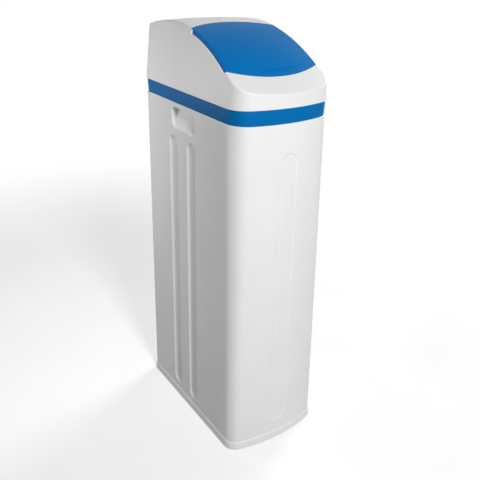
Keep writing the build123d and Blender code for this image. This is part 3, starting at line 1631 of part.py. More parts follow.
def brine_tube():
    """Tube from the safety valve up to the valve's elbow: straight runs joined by arcs."""
    route = [
        (well_x, brine_tube_start_y(), brine_tube_z),
        (well_x, brine_turn_y + tube_bend, brine_tube_z),
        (brine_elbow_x, brine_turn_y + tube_bend, brine_z),
        (brine_elbow_x, brine_socket_y() - tube_fit, brine_z),
    ]
    path = FilletPolyline(*route, radius=tube_bend)
    start = Plane(origin=route[0], z_dir=BACK)
    return sweep(start * Circle(brine_tube_radius), path=path) - sweep(start * Circle(brine_tube_bore), path=path)


def brine_tube_nut():
    start = well_y + well_radius + tube_nut_gap
    solid = ribbed_cap((well_x, start, brine_tube_z), BACK, tube_nut_radius, tube_nut_length, knob_rib_count,
                       knob_rib_radius)
    return solid - pin((well_x, start - overrun, brine_tube_z), BACK, boss_radius, tube_nut_length + 2 * overrun)


# Overflow

def rear_wall_y(z):
    share = z / body_height
    return (floor_depth + (top_depth - floor_depth) * share) / 2


def overflow_elbow():
    outside = rear_wall_y(overflow_z)
    inside = outside - cabinet_wall
    start = inside - overflow_inside
    solid = pin((overflow_x, start, overflow_z), BACK, overflow_radius, overflow_inside + cabinet_wall + overflow_reach / 3)
    flange = inside - overflow_flange - overflow_gap
    solid += pin((overflow_x, flange, overflow_z), BACK, overflow_flange_radius, overflow_flange)
    solid += pin((overflow_x, start, overflow_z), BACK, barb_radius + barb_rise / 2, outside + overflow_reach - start)
    bore = pin((overflow_x, start - overrun, overflow_z), BACK, overflow_bore - barb_rise,
               outside + overflow_reach - start + 2 * overrun)
    solid += barbs((overflow_x, outside + overflow_reach, overflow_z), BACK, barb_radius, bore)
    return solid - bore


def overflow_nut():
    start = rear_wall_y(overflow_z) + overflow_gap
    solid = ribbed_cap((overflow_x, start, overflow_z), BACK, overflow_nut_radius, overflow_nut_thickness,
                       knob_rib_count, knob_rib_radius)
    return solid - pin((overflow_x, start - overrun, overflow_z), BACK, overflow_radius,
                       overflow_nut_thickness + 2 * overrun)


def pieces():
    """Every piece by its name."""
    made = {
        "cabinet_body": cabinet_body(),
        "trim_band": trim_band(),
        "salt_grid": salt_grid(),
        "hood": hood(),
        "salt_lid": salt_lid(),
        "control_panel": control_panel(),
        "control_head": control_head(),
        "display": display(),
        "display_board": display_board(),
        "key_switches": key_switches(),
        "left_key": key(0),
        "inner_left_key": key(1),
        "inner_right_key": key(2),
        "right_key": key(3),
        "power_jack": power_jack(),
        "head_screws": head_screws(),
        "resin_tank": resin_tank(),
        "tank_boot": tank_boot(),
        "resin_bed": resin_bed(),
        "riser_tube": riser_tube(),
        "bottom_strainer": bottom_strainer(),
        "top_strainer": top_strainer(),
        "neck_seal": neck_seal(),
        "valve_body": valve_body(),
        "stack_spacers": stack_spacers(),
        "stack_seals": stack_seals(),
        "stack_retainer": stack_retainer(),
        "piston": piston(),
        "main_gear": main_gear(),
        "idler_gear": idler_gear(),
        "motor_pinion": motor_pinion(),
        "drive_motor": drive_motor(),
        "drive_bracket": drive_bracket(),
        "gear_cover": gear_cover(),
        "cover_screws": cover_screws(),
        "injector_nozzle": injector_nozzle(),
        "injector_cap": injector_cap(),
        "drain_elbow": drain_elbow(),
        "brine_elbow": brine_elbow(),
        "mixing_knob": mixing_knob(),
        "turbine_cage": turbine_cage(),
        "meter_turbine": meter_turbine(),
        "coupling_nuts": coupling_nuts(),
        "port_seals": port_seals(),
        "bypass_body": bypass_body(),
        "inlet_bypass_handle": bypass_handle(1),
        "outlet_bypass_handle": bypass_handle(-1),
        "brine_well": brine_well(),
        "well_cap": well_cap(),
        "safety_valve": safety_valve(),
        "brine_riser": brine_riser(),
        "rod_guide": rod_guide(),
        "float_rod": float_rod(),
        "float_cup": float_cup(),
        "air_check": air_check(),
        "air_check_ball": air_check_ball(),
        "brine_tube": brine_tube(),
        "brine_tube_nut": brine_tube_nut(),
        "overflow_elbow": overflow_elbow(),
        "overflow_nut": overflow_nut(),
    }
    return made


def write(name, shape):
    """One STEP file for a piece, or for a group of alike pieces."""
    solids = shape if isinstance(shape, list) else [shape]
    found = [solid for each in solids for solid in each.solids()]
    export_step(found[0] if len(found) == 1 else Compound(children=found), f"parts/{name}.step")


os.makedirs("parts", exist_ok=True)
for piece_name, piece_shape in pieces().items():
    write(piece_name, piece_shape)
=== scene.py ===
import json
import math
from functools import cache
import bpy
import numpy as np
from bpy.props import FloatProperty, FloatVectorProperty, PointerProperty
from mathutils import Matrix, Vector


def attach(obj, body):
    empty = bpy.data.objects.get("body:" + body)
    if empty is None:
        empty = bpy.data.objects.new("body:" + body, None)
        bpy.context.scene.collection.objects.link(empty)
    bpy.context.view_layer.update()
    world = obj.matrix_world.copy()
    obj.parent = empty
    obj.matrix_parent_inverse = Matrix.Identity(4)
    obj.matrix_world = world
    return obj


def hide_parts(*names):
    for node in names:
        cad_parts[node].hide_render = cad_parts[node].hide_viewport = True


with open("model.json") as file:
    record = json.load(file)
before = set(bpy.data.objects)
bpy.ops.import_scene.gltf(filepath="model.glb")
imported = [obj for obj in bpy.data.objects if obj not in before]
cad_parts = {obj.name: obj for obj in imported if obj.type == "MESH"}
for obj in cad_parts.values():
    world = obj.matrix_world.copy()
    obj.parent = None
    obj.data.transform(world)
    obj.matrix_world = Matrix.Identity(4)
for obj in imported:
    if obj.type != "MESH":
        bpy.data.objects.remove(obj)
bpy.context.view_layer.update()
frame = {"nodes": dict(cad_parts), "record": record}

bl_info = {
    "name": "Cabinet water softener",
    "version": (1, 0, 0),
    "blender": (4, 5, 0),
    "location": "View3D > Sidebar > Softener",
    "description": "Dresses the cabinet, hood, lid and works of a water softener",
    "category": "Object",
}

MM = 0.001

# Cabinet body, in millimetres: its plan at the floor, at its top, and round the collar and the band
BODY_TOP = 930.3
FLOOR_PLAN = {"half": 146.1, "back": 243.7, "bow": 470.0, "corner": 35.0, "rear": 16.0}
TOP_PLAN = {"half": 139.3, "back": 239.5, "bow": 369.0, "corner": 53.0, "rear": 16.0}
RIM_PLAN = {"half": 137.5, "back": 237.7, "bow": 369.0, "corner": 53.0, "rear": 16.0}
LEAST_CORNER = 2.0
WALL = 4.0

# Skirt, as height and inset of its points: a rolled foot, a full belly and a shallow groove above it
BASE_INSET = 40.0
SKIRT = (
    (0.0, 4.0), (0.0, 0.2), (0.35, -0.9), (1.1, -1.95), (2.2, -2.8), (3.6, -3.2), (5.5, -3.15),
    (13.0, -2.7), (19.0, -2.1), (22.0, -1.7), (23.6, -1.2), (24.5, -0.5), (25.1, 0.3), (25.8, 0.6),
    (26.6, 0.5), (27.4, 0.12), (28.4, 0.0),
)

# Ledge and collar above the shoulder, which carry the band and the hood
LEDGE_INSET = 3.2
COLLAR_MIDDLE, COLLAR_TOP = 955.0, 978.5
COLLAR_INSET = 5.3
COLLAR_WALL = 3.6
COLLAR_ROOT = 0.4
COLLAR_EDGE, COLLAR_EDGE_MIDDLE = 0.8, 0.2

# Inside of the wall and of the base, as height and how far a point stands in from the wall's inner face.
# The wall's rows stop a little below the ledge's underside.
INNER_EDGE = 0.6
INNER_STOP = 1.0
INNER_FOOT = ((12.0, 0.0), (5.5, 0.4), (4.4, 1.5), (4.0, 3.0))

# Side flutes, front flute and hand grips: middle, half width, ends and where their slopes start and end.
# A point this near the straight side's line counts as on it.
ON_SIDE = 0.01
FLUTE_MIDDLES = (-12.0, 81.0)
FLUTE_HALF = 20.0
FLUTE_LOW, FLUTE_HIGH = 44.0, 843.0
FLUTE_LEAD = 0.35
FRONT_FLUTE_HALF = 26.0
FRONT_FLUTE_LOW, FRONT_FLUTE_HIGH = 62.0, 857.0
FRONT_FLUTE_SLOPE = (-0.9, 1.7)
FRONT_REACH = 32.0
GRIP_MIDDLE, GRIP_HALF = 27.6, 60.5
GRIP_LOW, GRIP_HIGH = 865.0, 919.0
GRIP_CORNER = 15.0
GRIP_DEPTHS = (4.0, 18.0)
GRIP_LEAD = 1.2

# Stretches of the cabinet's grid, as start, end and spacing: across half the front, along the side and up
# the wall. The spacing is close where flutes and grips have their edges.
FRONT_STRETCHES = ((0.0, 22.0, 2.0), (22.0, 30.0, 1.0), (30.0, FRONT_REACH, 2.0))
SIDE_STRETCHES = (
    (-42.0, -24.0, 1.5), (-24.0, 0.0, 3.0), (0.0, 16.5, 1.5), (16.5, 52.5, 3.0), (52.5, 69.0, 1.5),
    (69.0, 79.5, 3.0), (79.5, 112.5, 1.5), (112.5, 118.0, 5.5),
)
WALL_STRETCHES = (
    (30.0, 40.0, 5.0), (40.0, 94.0, 1.8), (94.0, 814.0, 20.0), (814.0, 862.0, 1.6), (862.0, 914.0, 2.0),
    (914.0, 924.0, 0.8), (924.0, 928.0, 2.0),
)

# Trim band
BAND_LOW, BAND_HIGH = 930.3, 966.5
BAND_FLARE = 1.85
BAND_WALL = 5.0

# Stage, in metres: soft boxes, camera and floor
SOFT_BOXES = {
    "key_box": {"place": (-0.56, -3.0, 2.4), "target": (0.0, 0.0, 0.6), "size": 0.7},
    "side_box": {"place": (3.0, 1.25, 1.9), "target": (0.0, 0.0, 0.4), "size": 1.3},
    "fill_box": {"place": (-0.75, 0.62, 0.95), "target": (-0.14, 0.2, 0.65), "size": 0.35},
}
CAMERA_PLACE = (-0.858483, -1.317214, 1.284288)
CAMERA_YAW, CAMERA_PITCH, CAMERA_ROLL = 0.634143, 0.414326, 0.036439
CAMERA_LENS, CAMERA_SENSOR = 45.487, 36.0
CAMERA_SHIFT = (-0.052083, -0.0375)
FLOOR_RADII = (6.0, 3.0, 1.6, 0.8, 0.3)
FLOOR_SIDES = 64
FLOOR_FADE = (1.1, 2.6)


# Colour and nodes

def linear(code):
    """Linear red, green and blue of an sRGB colour written as #rrggbb."""
    levels = [int(code[place:place + 2], 16) / 255 for place in (1, 3, 5)]
    return tuple(level / 12.92 if level <= 0.04045 else ((level + 0.055) / 1.055) ** 2.4 for level in levels)


def shade(colour):
    """A colour socket's value, from #rrggbb or from linear red, green and blue."""
    return (*(linear(colour) if isinstance(colour, str) else colour), 1.0)


def deeper(colour, keep=0.975):
    """A linear colour a touch darker, as the low tone of a mottle."""
    return tuple(level * keep for level in colour)


def add(tree, kind, inputs=None, stops=None, **settings):
    """A node of one kind.

    Settings are its properties, stops are the places and colours of its ramp, and each input takes a value or
    the socket that feeds it.
    """
    node = tree.nodes.new("ShaderNode" + kind)
    for name, value in settings.items():
        setattr(node, name, value)
    for name, value in (inputs or {}).items():
        if isinstance(value, bpy.types.NodeSocket):
            tree.links.new(value, node.inputs[name])
        else:
            node.inputs[name].default_value = value
    if stops:
        for element, (place, colour) in zip(node.color_ramp.elements, stops):
            element.position = place
            element.color = colour
    return node


def fresh(name):
    """An empty node material, its tree, and the object coordinates that its patterns follow."""
    material = bpy.data.materials.new(name)
    material.use_nodes = True
    tree = material.node_tree
    tree.nodes.clear()
    return material, tree, add(tree, "TexCoord").outputs["Object"]


def every(millimetres):
    """Scale of a texture whose features are that far apart."""
    return 1 / (millimetres * MM)


def picture_rays(tree):
    """1 for rays of the camera, of reflections and of light through glass, and 0 for all others."""
    path = add(tree, "LightPath").outputs
    seen = path["Is Camera Ray"]
    for kind in ("Is Glossy Ray", "Is Transmission Ray"):
        seen = add(tree, "Math", {0: seen, 1: path[kind]}, operation="MAXIMUM").outputs["Value"]
    return seen


# Finishes

def moulded(name, low, high, rough, peel, height, cloud=120.0, specular=0.5):
    """Injection or blow moulded plastic. Peel and cloud are sizes in millimetres.

    A broad cloud shifts the colour between two near tones, as uneven wall thickness does. A fine peel from
    the tool's surface lifts the normal and moves the roughness a little.
    """
    material, tree, place = fresh(name)
    broad = add(tree, "TexNoise", {
        "Vector": place, "Scale": every(cloud), "Detail": 3.0, "Roughness": 0.5,
    }).outputs["Fac"]
    fine = add(tree, "TexNoise", {
        "Vector": place, "Scale": every(peel), "Detail": 2.0, "Roughness": 0.45,
    }).outputs["Fac"]
    tone = add(tree, "ValToRGB", {"Fac": broad}, stops=[(0.35, shade(low)), (0.65, shade(high))])
    gloss = add(tree, "MapRange", {"Value": fine, "To Min": rough - 0.04, "To Max": rough + 0.05})
    lift = add(tree, "Bump", {"Height": fine, "Strength": height, "Distance": peel * MM / 10})
    skin = add(tree, "BsdfPrincipled", {
        "Base Color": tone.outputs["Color"],
        "Roughness": gloss.outputs["Result"],
        "Normal": lift.outputs["Normal"],
        "Specular IOR Level": specular,
    })
    add(tree, "OutputMaterial", {"Surface": skin.outputs["BSDF"]})
    return material


def plated(name, low, high, rough, grain, squeeze):
    """Rolled or drawn steel: lengthwise grain, stretched by a mapping, over cloudy crystals 6 mm across."""
    material, tree, place = fresh(name)
    drawn = add(tree, "Mapping", {"Vector": place, "Scale": squeeze}).outputs["Vector"]
    lines = add(tree, "TexNoise", {"Vector": drawn, "Scale": every(grain), "Detail": 3.0}).outputs["Fac"]
    cloud = add(tree, "TexVoronoi", {"Vector": place, "Scale": every(6.0)}).outputs["Distance"]
    tone = add(tree, "ValToRGB", {"Fac": cloud}, stops=[(0.1, shade(low)), (0.8, shade(high))])
    gloss = add(tree, "MapRange", {"Value": lines, "To Min": rough - 0.08, "To Max": rough + 0.1})
    lift = add(tree, "Bump", {"Height": lines, "Strength": 0.25, "Distance": grain * MM / 8})
    skin = add(tree, "BsdfPrincipled", {
        "Base Color": tone.outputs["Color"],
        "Metallic": 1.0,
        "Roughness": gloss.outputs["Result"],
        "Normal": lift.outputs["Normal"],
    })
    add(tree, "OutputMaterial", {"Surface": skin.outputs["BSDF"]})
    return material


def wound_tank_shell(name):
    """Glass-fibre filament winding in black epoxy: crossed bands 44 mm apart under a clear gloss skin.

    The wave repeats itself every pi / 10 of its scaled units.
    """
    material, tree, place = fresh(name)
    bands = []
    for lean in (1, -1):
        turned = add(tree, "Mapping", {"Vector": place, "Rotation": (0.0, lean * math.radians(38), 0.0)})
        wave = add(tree, "TexWave", {
            "Vector": turned.outputs["Vector"], "Scale": every(44.0) * math.pi / 10, "Distortion": 0.6,
            "Detail": 1.0, "Detail Scale": 3.0,
        }, bands_direction="Z")
        bands.append(wave.outputs["Fac"])
    crossed = add(tree, "Math", {0: bands[0], 1: bands[1]}, operation="MAXIMUM").outputs["Value"]
    tone = add(tree, "ValToRGB", {"Fac": crossed}, stops=[(0.2, shade("#1b1d20")), (0.9, shade("#34373b"))])
    gloss = add(tree, "MapRange", {"Value": crossed, "To Min": 0.42, "To Max": 0.3})
    lift = add(tree, "Bump", {"Height": crossed, "Strength": 0.35, "Distance": 0.4 * MM})
    skin = add(tree, "BsdfPrincipled", {
        "Base Color": tone.outputs["Color"],
        "Roughness": gloss.outputs["Result"],
        "Normal": lift.outputs["Normal"],
        "Coat Weight": 0.5,
        "Coat Roughness": 0.12,
    })
    add(tree, "OutputMaterial", {"Surface": skin.outputs["BSDF"]})
    return material


def resin_beads(name):
    """Ion exchange resin: translucent amber beads, 0.6 mm across but drawn 2.5 mm so that they show."""
    material, tree, place = fresh(name)
    beads = add(tree, "TexVoronoi", {"Vector": place, "Scale": every(2.5)}).outputs["Distance"]
    tint = add(tree, "TexNoise", {"Vector": place, "Scale": every(9.0), "Detail": 2.0}).outputs["Fac"]
    tone = add(tree, "ValToRGB", {"Fac": tint}, stops=[(0.35, shade("#9a5d1c")), (0.65, shade("#d39a45"))])
    gloss = add(tree, "MapRange", {"Value": beads, "To Min": 0.25, "To Max": 0.55})
    lift = add(tree, "Bump", {"Height": beads, "Strength": 0.8, "Distance": 0.6 * MM}, invert=True)
    skin = add(tree, "BsdfPrincipled", {
        "Base Color": tone.outputs["Color"],
        "Roughness": gloss.outputs["Result"],
        "Normal": lift.outputs["Normal"],
    })
    add(tree, "OutputMaterial", {"Surface": skin.outputs["BSDF"]})
    return material


def circuit_board(name):
    """Green solder mask over copper tracks about 3 mm apart, which show as slightly paler raised lines."""
    material, tree, place = fresh(name)
    tracks = add(tree, "TexBrick", {
        "Vector": place, "Scale": every(12.0), "Color1": shade("#0f4a2c"), "Color2": shade("#145a36"),
        "Mortar": shade("#2d8453"), "Mortar Size": 0.03, "Brick Width": 1.4, "Row Height": 0.27,
    })
    lift = add(tree, "Bump", {"Height": tracks.outputs["Fac"], "Strength": 0.3, "Distance": 0.1 * MM})
    skin = add(tree, "BsdfPrincipled", {
        "Base Color": tracks.outputs["Color"], "Roughness": 0.35, "Normal": lift.outputs["Normal"],
    })
    add(tree, "OutputMaterial", {"Surface": skin.outputs["BSDF"]})
    return material


def display_window(name):
    """Hard-coated acrylic over an unlit display: a glossy grey green face with a faint chequer of cells."""
    material, tree, place = fresh(name)
    cells = add(tree, "TexChecker", {
        "Vector": place, "Scale": every(1.2), "Color1": shade("#a9b4ad"), "Color2": shade("#b3bdb6"),
    })
    skin = add(tree, "BsdfPrincipled", {
        "Base Color": cells.outputs["Color"], "Roughness": 0.18, "Coat Weight": 0.8, "Coat Roughness": 0.04,
    })
    add(tree, "OutputMaterial", {"Surface": skin.outputs["BSDF"]})
    return material


@cache
def finish_of(slot):
    """The node material of one of the record's slots, made the first time that it is asked for."""
    colours = bpy.context.scene.softener_colours
    makers = {
        # White polyethylene, blow moulded: satin with a soft orange peel, a little uneven in tone
        "cabinet_white": lambda: moulded(
            "satin_white_polyethylene", deeper(colours.cabinet), colours.cabinet,
            rough=0.5, peel=3.0, height=0.12, specular=0.25,
        ),
        # White ABS, injection moulded in a finer tool: smoother and slightly glossier than the body
        "hood_white": lambda: moulded(
            "smooth_white_abs", deeper(colours.hood), colours.hood,
            rough=0.4, peel=2.2, height=0.07, specular=0.3,
        ),
        # Blue ABS, injection moulded: an even strong blue with a low satin sheen
        "band_blue": lambda: moulded(
            "blue_abs_trim", deeper(colours.band), colours.band,
            rough=0.45, peel=2.2, height=0.06, specular=0.06,
        ),
        # The same blue ABS in a more polished tool: a shade smoother
        "lid_blue": lambda: moulded(
            "blue_abs_lid", deeper(colours.lid), colours.lid,
            rough=0.42, peel=2.2, height=0.06, specular=0.04,
        ),
        # Grey polypropylene platform: matt and faintly mottled by the salt
        "grid_grey": lambda: moulded(
            "grey_polypropylene", "#aeb1b3", "#c3c6c8", rough=0.6, peel=4.0, height=0.25, cloud=40.0,
        ),
        # Pale grey polycarbonate panel, spark-eroded: even and fine
        "panel_grey": lambda: moulded(
            "pale_polycarbonate", "#d3d6d9", "#dcdfe1", rough=0.42, peel=1.2, height=0.1, cloud=30.0,
        ),
        "display_pale": lambda: display_window("unlit_display_window"),
        # Silicone rubber keys: dark, matt and slightly dusty
        "key_dark": lambda: moulded(
            "dark_silicone_rubber", "#2c2e32", "#3a3d42", rough=0.7, peel=1.0, height=0.15, cloud=12.0,
        ),
        "board_green": lambda: circuit_board("solder_masked_board"),
        # Glass-filled polyphenylene ether, black: the fibres leave a rough, slightly streaky skin
        "black_plastic": lambda: moulded(
            "glass_filled_black", "#141416", "#202124", rough=0.5, peel=1.8, height=0.35, cloud=22.0,
        ),
        "tank_shell": lambda: wound_tank_shell("filament_wound_glass_fibre"),
        # Black moulded rubber boot: matt with a pale bloom
        "boot_black": lambda: moulded(
            "black_rubber_boot", "#111111", "#1d1d1e", rough=0.75, peel=2.5, height=0.4, cloud=30.0,
        ),
        "resin_amber": lambda: resin_beads("ion_exchange_resin"),
        # White PVC pipe, extruded: smooth with a faint drawn cloud
        "pipe_white": lambda: moulded(
            "white_pvc_pipe", "#d9d9d3", "#e6e6e1", rough=0.38, peel=2.5, height=0.08, cloud=35.0,
        ),
        # Grey ABS strainers: matt, with tool grain
        "strainer_grey": lambda: moulded(
            "grey_abs_strainer", "#8f9296", "#a3a6aa", rough=0.55, peel=1.5, height=0.2, cloud=15.0,
        ),
        # Nitrile rubber seals: dark, greased, half gloss
        "seal_rubber": lambda: moulded(
            "greased_nitrile", "#0c0c0c", "#161616", rough=0.4, peel=0.8, height=0.2, cloud=6.0,
        ),
        # Filled PTFE piston, ground: smooth ivory with a low sheen
        "piston_polymer": lambda: moulded(
            "ground_ptfe", "#c6c5b9", "#d3d2c8", rough=0.28, peel=0.8, height=0.05, cloud=18.0,
        ),
        # Natural acetal gears: creamy white, slightly waxy
        "gear_white": lambda: moulded(
            "natural_acetal", "#e2dfd2", "#efede2", rough=0.4, peel=1.2, height=0.08, cloud=15.0,
        ),
        # Zinc-plated pressed steel of the motor can and its shaft: soft grey spangle
        "motor_steel": lambda: plated(
            "zinc_plated_can", "#9fa2a6", "#bfc2c5", rough=0.36, grain=0.6, squeeze=(1, 1, 0.08),
        ),
        # Plated screws: bright, turned grain
        "screw_steel": lambda: plated(
            "plated_screw", "#b4b5b6", "#d0d1d2", rough=0.28, grain=0.3, squeeze=(1, 1, 0.3),
        ),
        # Dark grey glass-filled nylon of the drive plate, cover and knob: matt with a coarse grain
        "knob_grey": lambda: moulded(
            "dark_grey_nylon", "#4c4f54", "#5a5d62", rough=0.55, peel=1.5, height=0.25, cloud=18.0,
        ),
        # Blue acetal bypass handles: matt with a waxy cloud
        "handle_blue": lambda: moulded(
            "blue_acetal", "#1a5593", "#2265a8", rough=0.5, peel=1.6, height=0.12, cloud=14.0,
        ),
        # Extruded grey PVC brine well: satin and faintly cloudy
        "well_grey": lambda: moulded(
            "pale_grey_pvc", "#c2c4c6", "#cfd1d3", rough=0.45, peel=3.0, height=0.1, cloud=60.0,
        ),
        # Closed-cell float foam: chalky with small pits
        "float_foam": lambda: moulded(
            "closed_cell_foam", "#dad9d4", "#ebeae6", rough=0.8, peel=1.4, height=0.6, cloud=10.0,
        ),
        # Drawn stainless rod: fine lengthwise lines
        "rod_steel": lambda: plated(
            "drawn_stainless", "#a6a8aa", "#c4c6c8", rough=0.25, grain=0.4, squeeze=(1, 1, 0.04),
        ),
    }
    return makers[slot]()


def slot_of(node):
    """The record's material slot of a node."""
    return next(part["material_slot"] for part in frame["record"]["subparts"] if part["node"] == node)


def dress(*nodes):
    """Gives carried-over nodes the finish of their slots."""
    for node in nodes:
        shown = frame["nodes"][node]
        finish = finish_of(slot_of(node))
        if not shown.data.materials:
            shown.data.materials.append(finish)
        for holder in shown.material_slots:
            holder.material = finish


# Surfaces

def smooth_step(value, start, end):
    """Rises from 0 at the start to 1 at the end with level ends: 3 t squared less 2 t cubed."""
    share = np.clip((value - start) / (end - start), 0, 1)
    return share * share * (3 - 2 * share)


def lerp(start, end, share):
    """Points at given shares of the way from a start to an end."""
    return start + (end - start) * share


def shares(count):
    """Equal shares from 0 to 1, both included."""
    return np.arange(count + 1) / count


def steps(stretches):
    """Values along several stretches, each given as start, end and spacing, without repeats."""
    parts = [np.arange(start, end, spacing) for start, end, spacing in stretches]
    return np.concatenate([*parts, [stretches[-1][1]]])


def half_plan(plan, columns):
    """Right half of the cabinet's plan, from the middle of the front to the middle of the back.

    The front is a circle of the bow's radius through the front middle. A corner circle touches it from inside
    and touches the straight side. The rear corner is a quarter circle, and the back is straight. Every size
    is a column with one value for each height, so that one row of points comes out for each height.
    """
    half, back, bow, corner, rear = (plan[name] for name in ("half", "back", "bow", "corner", "rear"))
    front, side = (
        np.broadcast_to(columns[name], (len(half), columns[name].size)) for name in ("front", "side")
    )
    centre_y = bow - back
    turn_x = half - corner
    turn_y = centre_y - np.sqrt((bow - corner) ** 2 - turn_x ** 2)
    meet = np.arcsin(turn_x / (bow - corner))
    bow_x = np.concatenate([front, lerp(front[:, -1:], bow * np.sin(meet), columns["bow"])], axis=1)
    bow_y = centre_y - np.sqrt(bow ** 2 - bow_x ** 2)
    turn = lerp(meet, math.pi / 2, columns["corner"])
    ahead = lerp(turn_y, side[:, :1], columns["ahead"])
    behind = lerp(side[:, -1:], back - rear, columns["behind"])
    side_y = np.concatenate([ahead, side, behind], axis=1)
    rear_turn = lerp(math.pi / 2, math.pi, columns["rear"])
    back_x = lerp(half - rear, 0, columns["back"])
    stretches = [
        (bow_x, bow_y),
        (turn_x + corner * np.sin(turn), turn_y - corner * np.cos(turn)),
        (half + 0 * side_y, side_y),
        (half - rear + rear * np.sin(rear_turn), back - rear - rear * np.cos(rear_turn)),
        (back_x, back + 0 * back_x),
    ]
    return tuple(np.concatenate(places, axis=1) for places in zip(*stretches))


def whole_plan(plan, columns):
    """Both halves of the plan as one closed row, walking to the right along the front."""
    x, y = half_plan(plan, columns)
    return np.concatenate([x, -x[:, -2:0:-1]], axis=1), np.concatenate([y, y[:, -2:0:-1]], axis=1)


def quads_between(index):
    """Quads that join each closed row of point numbers to the next one."""
    following = np.roll(index, -1, axis=1)
    return np.stack([index[:-1], following[:-1], following[1:], index[1:]], axis=-1).reshape(-1, 4).tolist()


def fan(pole, row):
    """Triangles from a pole to each pair of neighbours in a closed row."""
    return np.stack([np.full_like(row, pole), row, np.roll(row, -1)], axis=-1).tolist()


def put_mesh(name, points, wrap, body, slot, replaced):
    """A named piece from rows of points in millimetres, each row closed.

    With wrap the last row joins the first. Otherwise the first and the last row are each drawn together into
    one point.
    """
    rows, columns = points.shape[:2]
    index = np.arange(rows * columns).reshape(rows, columns)
    vertices = points.reshape(-1, 3)
    if wrap:
        faces = quads_between(np.vstack([index, index[:1]]))
    else:
        vertices = np.vstack([vertices, points[[0, -1]].mean(axis=1)])
        faces = quads_between(index) + fan(index.size, index[0, ::-1]) + fan(index.size + 1, index[-1])
    mesh = bpy.data.meshes.new(name)
    mesh.from_pydata((vertices * MM).tolist(), [], faces)
    mesh.polygons.foreach_set("use_smooth", np.ones(len(mesh.polygons), dtype=bool))
    mesh.update()
    mesh.materials.append(finish_of(slot))
    piece = bpy.data.objects.new(name, mesh)
    bpy.context.scene.collection.objects.link(piece)
    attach(piece, body)
    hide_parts(replaced)


def slot_distance(across, along, middle, low, high, half):
    """Distance outside a round-ended slot, negative inside: that to its middle line less its half width."""
    beyond = np.maximum(np.abs(along - (low + high) / 2) - ((high - low) / 2 - half), 0)
    return np.hypot(across - middle, beyond) - half


def grip_distance(y, z):
    """Distance outside the grip's rounded rectangle, negative inside: that to its core less the corner's."""
    wide = np.abs(y - GRIP_MIDDLE) - (GRIP_HALF - GRIP_CORNER)
    tall = np.abs(z - (GRIP_LOW + GRIP_HIGH) / 2) - ((GRIP_HIGH - GRIP_LOW) / 2 - GRIP_CORNER)
    outside = np.hypot(np.maximum(wide, 0), np.maximum(tall, 0))
    return outside + np.minimum(np.maximum(wide, tall), 0) - GRIP_CORNER


def body_columns():
    """Columns of the cabinet's grid.

    Front and side hold places along X and Y. The others hold shares of the stretch of plan that they cross.
    """
    return {
        "front": steps(FRONT_STRETCHES), "bow": shares(11)[1:-1], "corner": shares(12),
        "ahead": shares(6)[1:-1], "side": steps(SIDE_STRETCHES), "behind": shares(6)[1:-1],
        "rear": shares(7), "back": shares(6)[1:],
    }


def band_columns():
    """Columns of the band's grid, as wide apart as its plain faces allow."""
    return {
        "front": np.array([0.0, 10.0, 20.0]), "bow": shares(12)[1:-1], "corner": shares(14),
        "ahead": shares(4)[1:-1], "side": np.array([-40.0, 30.0, 110.0]), "behind": shares(4)[1:-1],
        "rear": shares(8), "back": shares(4)[1:],
    }


def collar_points():
    """Height and inset of the points from the ledge up over the collar and down its inner face."""
    middle, edge = COLLAR_EDGE_MIDDLE, COLLAR_EDGE
    outer, inner = COLLAR_INSET, COLLAR_INSET + COLLAR_WALL
    under = BODY_TOP - WALL
    return [
        (BODY_TOP, LEDGE_INSET), (BODY_TOP, outer - COLLAR_ROOT), (BODY_TOP + COLLAR_ROOT, outer),
        (COLLAR_MIDDLE, outer), (COLLAR_TOP - edge, outer), (COLLAR_TOP - middle, outer + middle),
        (COLLAR_TOP, outer + edge), (COLLAR_TOP, inner - edge), (COLLAR_TOP - middle, inner - middle),
        (COLLAR_TOP - edge, inner), (COLLAR_MIDDLE, inner), (under + COLLAR_ROOT, inner),
        (under, inner - COLLAR_ROOT),
    ]


def body_rows(edge):
    """Each row's height, its inset, whether it follows the rim's plan, and how far its dents are grown.

    The walk starts under the base, goes up the skirt, the wall, the rounded shoulder and the collar, and
    comes down inside the collar and the wall to the inner floor. Dents keep their outline on the wall and are
    grown by its thickness on its inner face. A row with a negative growth has none.
    """
    plain, on_rim = 0, 1
    undented = -1
    wall = steps(WALL_STRETCHES)
    quarter = shares(5) * math.pi / 2
    under = BODY_TOP - WALL
    inner = [(under, WALL + INNER_EDGE), (under - INNER_EDGE, WALL)]
    inner += [(z, WALL) for z in wall[::-1] if z < under - INNER_STOP]
    inner += [(z, WALL + step) for z, step in INNER_FOOT]
    inner += [(WALL, BASE_INSET)]
    sections = [
        ([(0, BASE_INSET), *SKIRT], plain, undented),
        ([(z, 0) for z in wall], plain, 0),
        (zip(BODY_TOP - edge + edge * np.sin(quarter), edge * (1 - np.cos(quarter))), plain, undented),
        (collar_points(), on_rim, undented),
        (inner, plain, WALL),
    ]
    rows = [(z, inset, rim, grown) for points, rim, grown in sections for z, inset in points]
    return np.hsplit(np.array(rows, dtype=float), 4)


def body_plan(z, inset, rim):
    """The body's plan sizes in each row, straight between the floor's and the top's, or else the rim's."""
    share = np.clip(z / BODY_TOP, 0, 1)
    plan = {
        name: np.where(rim > 0, RIM_PLAN[name], lerp(FLOOR_PLAN[name], TOP_PLAN[name], share)) - inset
        for name in FLOOR_PLAN
    }
    for name in ("rear", "corner"):
        plan[name] = np.maximum(plan[name], LEAST_CORNER)
    return plan


